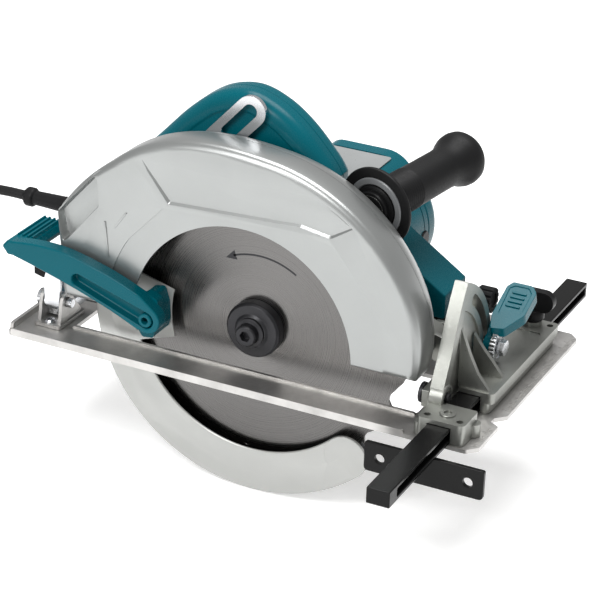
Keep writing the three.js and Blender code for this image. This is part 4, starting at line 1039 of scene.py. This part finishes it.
# ---------------------------------------------------------------- rear bracket and depth guide
def rear_bracket():
    """A foot with two ears that hold the rear bevel pin, and its two rivets."""
    ear_outline = [(-30, BASE_TOP + 0.3)] + spline([(-30, -28), (-28, -20), (-27, -12), (-24.5, -6)], 4)
    ear_outline += arc(*BEVEL_AXIS, 8.4, 140, 40, 10)
    ear_outline += spline([(-10, -8), (-5, -16), (1, -23), (4, -28)], 4) + [(4, BASE_TOP + 0.3)]
    ears = [prism("x", ear_outline, x, x + 3) for x in (-190, -171)]
    foot = prism("z", rectangle(-192, -34, -166, 8, 4), BASE_TOP + 0.3, BASE_TOP + 3.3)
    bracket = join(foot, *ears)
    bracket = cut(bracket, rod("x", *BEVEL_AXIS, -200, -160, 4.4, 28))
    piece(bracket, "rear_bracket_steel", "base", "steel", "rear_bracket", width=0.5, segments=2)
    rivet = [(0, 0), (4.6, 0), (4.6, 1), (3.4, 2.4), (0, 2.8)]
    for i, y in enumerate((-28, 2)):
        head = lathe(rivet, (-179, y, BASE_TOP + 3.3), (0, 0, 1), 28)
        piece(head, "rear_rivet_%d" % (i + 1), "base", "zinc")


def depth_guide():
    """A curved bar with the depth's slot, on the collar that turns about the bevel's axis."""
    centre = (140, 10)
    start = 180 + math.asin(22 / 300) / DEG
    bar = prism("y", ring_slot(*centre, 300, 10, start - 16.1, start + 0.4), 17, 20.5)
    slot = prism("y", ring_slot(*centre, 300, 4.4, start - 15.5, start), 16, 22)
    collar = rod("x", *BEVEL_AXIS, -186.7, -171.3, 8, 44, 0.6)
    linkage = box((-186.7, -171.3), (BEVEL_AXIS[0], 20.5), (-26, -17))
    riser = rounded([(-186.7, -26), (-152, -26), (-152, -16), (-171.3, -10), (-186.7, -14)], 2)
    riser = prism("y", riser, 17, 20.5)
    cheek_outline = rounded([(-185, -14), (-172, -14), (-170, 10), (-174, 22), (-182, 22), (-186, 8)],
                            [1, 1, 6, 5, 5, 8])
    cheeks = [prism("y", cheek_outline, y, y + 3) for y in (-26, -13)]
    body = join(bar, riser, linkage, collar, *cheeks)
    body = cut(body, slot, rod("x", *BEVEL_AXIS, -200, -160, 4.4, 28))
    piece(body, "depth_guide_steel", "bevel_frame", "zinc", "depth_guide", width=0.5, segments=2)


# ---------------------------------------------------------------- blade
def blade():
    """The blade's body with its gullets and a carbide tip on each tooth."""
    radius, teeth, half = 135.0, 18, 1.1
    pitch = 360 / teeth
    root = radius - 12
    outline = []
    for i in range(teeth):
        face = -i * pitch
        outline += [polar(radius - 0.4, face), polar(radius - 0.6, face - 1.7), polar(radius - 3.4, face - 7)]
        back = [(radius - 4.4, 8.5), (radius - 7, 10.4), (root + 2.5, 12.8), (root, 15.2), (root + 0.6, 17.4),
                (root + 4.4, 19.2)]
        outline += [polar(r, face - a) for r, a in back]
    body = prism("y", outline, -half, half)
    holes = [rod("y", *polar(108.7, angle), -3, 3, 2.2, 28) for angle in (-93.6, 26.4, 146.4)]
    body = cut(body, *holes, rod("y", 0, 0, -3, 3, 15, 60))
    piece(body, "blade_body", "blade_assembly", "blade_steel", "blade", width=0.12, segments=1, slot="steel")
    for i in range(teeth):
        face = -i * pitch
        tip = [polar(radius - 9.5, face + 0.6), polar(radius, face + 0.1), polar(radius - 0.3, face - 1.4),
               polar(radius - 9.2, face - 1.0)]
        piece(prism("y", tip, -1.45, 1.45), "blade_tip_%02d" % (i + 1), "blade_assembly", "carbide",
              width=0.15, segments=1, slot="steel")


def rotation_arrow():
    """A plain curved arrow for the direction of rotation, printed on the blade."""
    level, radius, half = -1.1, 62.0, 0.8
    bow = arc(0, 0, radius + half, 58, 112) + arc(0, 0, radius - half, 112, 58)
    tip = [polar(radius + 4.2, 110), polar(radius, 119), polar(radius - 4.2, 110)]
    piece(gather(prism("y", bow, level - 0.05, level + 0.3), prism("y", tip, level - 0.05, level + 0.3)),
          "rotation_arrow", "blade_assembly", "dark_steel", slot="dark_steel")


# ---------------------------------------------------------------- fence, cord guard, tie, trigger, fine edges
def fence():
    """The fence's bar, its plate, and the knob that clamps the bar."""
    bottom, top = BASE_TOP + 0.3, FENCE["top"]
    left, right = FENCE["x"] - FENCE["half"], FENCE["x"] + FENCE["half"]
    bar = box((left, right), (FENCE["near"], FENCE["far"]), (bottom, top))
    groove = box((right - 7, right + 1), (FENCE["near"] + 14, FENCE["far"] - 4), (bottom + 3.4, top - 3.4))
    piece(cut(bar, groove), "fence_bar_steel", "fence", "black_paint", "fence_bar", width=0.9, segments=3)
    y = FENCE["plate"]
    outline = [(133, BASE_TOP - 25), (232, BASE_TOP - 25), (232, BASE_TOP), (133, BASE_TOP)]
    plate = prism("y", rounded(outline, [4, 4, 2, 2]), y - 2, y + 2)
    holes = [rod("y", x, BASE_TOP - 12.5, y - 5, y + 5, 4, 32) for x in (146, 219)]
    piece(cut(plate, *holes), "fence_plate_steel", "fence", "black_paint", "fence_plate", width=0.6,
          segments=2)
    knob_y, low = 142, -8.5
    head = [(0, 0), (8.6, 0), (9.5, 1), (9.5, 6), (8, 9), (0, 9)]
    head = lathe(head, (FENCE["x"], knob_y, low), (0, 0, 1), 48)
    wing = prism("y", stadium(FENCE["x"] - 9, low + 17, FENCE["x"] + 9, low + 17, 9), knob_y - 4, knob_y + 4)
    stem = rod("z", FENCE["x"], knob_y, FENCE["top"] + 0.4, low + 1, 3, 28)
    piece(join(head, wing, stem), "fence_knob_grip", "fence_knob", "black_plastic", "fence_knob", width=1.6,
          segments=4)


def cord_guard():
    """The strain relief: a collar, a thin sleeve and a bead at its end."""
    profile = [(0, 0), (7, 0), (7, 6), (9.4, 6), (10, 6.6), (10, 8.4), (9.4, 9), (7, 9.3), (7, 30)]
    profile += [(7.2, 31), (7.2, 33), (6.9, 34), (6.8, 40), (6.5, 50), (6.2, 60), (6.2, 62), (7.6, 63)]
    profile += [(8.3, 64.2), (8.3, 69.4), (7.6, 70.6), (5.6, 72), (5.2, 73), (0, 73)]
    body = lathe(profile, (-172, 40.5, 46), (-1, 0, 0), 56)
    piece(body, "cord_guard_rubber", "saw", "black_rubber", "cord_guard", sharp=40)


def coil_tie():
    """A flat band with a buckle, round the coil and down to the floor."""
    x, y0, y1 = COIL["x"], COIL["y"] - 65.4, COIL["y"] - 27.8
    outer = rounded([(y0, FLOOR), (y1, FLOOR), (y1, FLOOR + 19.4), (y0, FLOOR + 19.4)], [3, 3, 6, 6])
    low, high = FLOOR + 0.7, FLOOR + 18.4
    inner = rounded([(y0 + 1, low), (y1 - 1, low), (y1 - 1, high), (y0 + 1, high)], [2.4, 2.4, 5, 5])
    band = cut(prism("x", outer, x - 4, x + 4), prism("x", inner, x - 6, x + 6))
    buckle = prism("x", rectangle(y0 + 12, FLOOR + 18.8, y0 + 22, FLOOR + 21.6, 1), x - 5, x + 5)
    return piece(join(band, buckle), "cord_tie", "saw", "black_plastic", width=0.3, segments=2)


def trigger():
    body = along_grip(19.8, -30, -15, 33.5, 47.5)
    piece(body, "trigger_paddle", "trigger", "black_plastic", "trigger", width=2.6, segments=4)


base_plate()
front_casting()
bevel_clamp()
stop_knob()
rear_bracket()
depth_guide()
blade()
rotation_arrow()
fence()
cord_guard()
coil_tie()
trigger()
FINE_EDGES = {
    "gear_housing": 1.2, "nose_cover": 3.0, "nose_bumper": 2.5, "hanging_loop": 1.0, "hinge_bracket": 1.0,
    "depth_lever": 1.4, "outer_flange": 0.5, "blade_bolt": 0.4, "plug": 1.6, "bevel_bolt": 0.5,
    "front_bevel_pin": 0.5, "rear_bevel_pin": 0.4, "depth_pin": 0.4, "lock_off_button": 0.8,
    "shaft_lock_button": 0.8, "brush_cap_front": 0.5, "brush_cap_rear": 0.5, "depth_bolt": 0.4,
}
for node, width in FINE_EDGES.items():
    refined(node, width)


def paint_shaded_faces(name, direction, level):
    """Paints the faces that lie on a level, and face a direction, with a dark material as painted shade."""
    mesh = bpy.data.objects[name].data
    mesh.materials.append(LOOKS["dark_steel"])
    normal, origin = Vector(direction), place((0, 0, 0))
    for face in mesh.polygons:
        past = (face.center - origin).dot(normal) - level * MM
        if face.normal.dot(normal) > 0.9 and abs(past) < 0.0006:
            face.material_index = 1


# painted shade: the hinge bracket's front face, turned away from the lamps, gets the dark material
paint_shaded_faces("fine_hinge_bracket", (1, 0, 0), 161.7)

# ---------------------------------------------------------------- the CAD's own pieces
for node, slot in SLOT_OF.items():
    if node in ("cord", "cord_coil"):
        continue
    shown = bpy.data.objects.get(node)
    if shown is None:
        continue
    for material_slot in shown.material_slots:
        material_slot.material = LOOKS["blade_steel" if node == "blade" else slot]


# ---------------------------------------------------------------- light and floor
def area_light(name, position, target, size, power, tint=(1, 1, 1)):
    data = bpy.data.lights.new(name, "AREA")
    data.shape = "RECTANGLE"
    data.size, data.size_y = size
    data.energy = power
    data.color = tint
    obj = bpy.data.objects.new(name, data)
    bpy.context.scene.collection.objects.link(obj)
    position, target = Vector(position), Vector(target)
    obj.location = position
    obj.rotation_mode = "QUATERNION"
    obj.rotation_quaternion = (target - position).to_track_quat("-Z", "Y")


def studio():
    world = bpy.data.worlds.new("studio")
    world.use_nodes = True
    background = world.node_tree.nodes["Background"]
    background.inputs["Color"].default_value = (1, 1, 1, 1)
    background.inputs["Strength"].default_value = 0.45
    bpy.context.scene.world = world
    middle = (-0.15, 0.03, 0.06)
    area_light("key", (-0.25, -1.5, 1.8), middle, (0.8, 0.6), 24)
    area_light("strip", (-0.85, -1.75, 1.1), middle, (0.35, 1.3), 12)
    area_light("top", (-0.1, 0.5, 1.8), middle, (1.4, 0.8), 34)
    mesh = bpy.data.meshes.new("floor")
    half = 6.0
    level = place((0, 0, FLOOR)).z
    mesh.from_pydata([(-half, -half, level), (half, -half, level), (half, half, level), (-half, half, level)],
                     [], [(0, 1, 2, 3)])
    floor = bpy.data.objects.new("floor", mesh)
    bpy.context.scene.collection.objects.link(floor)
    material, surface = shader("floor", (0.9, 0.9, 0.9), 0.0, 0.8)
    surface.inputs["Emission Color"].default_value = (1, 1, 1, 1)
    surface.inputs["Emission Strength"].default_value = 0.35
    mesh.materials.append(material)
    bpy.context.scene.view_settings.view_transform = "Standard"


studio()
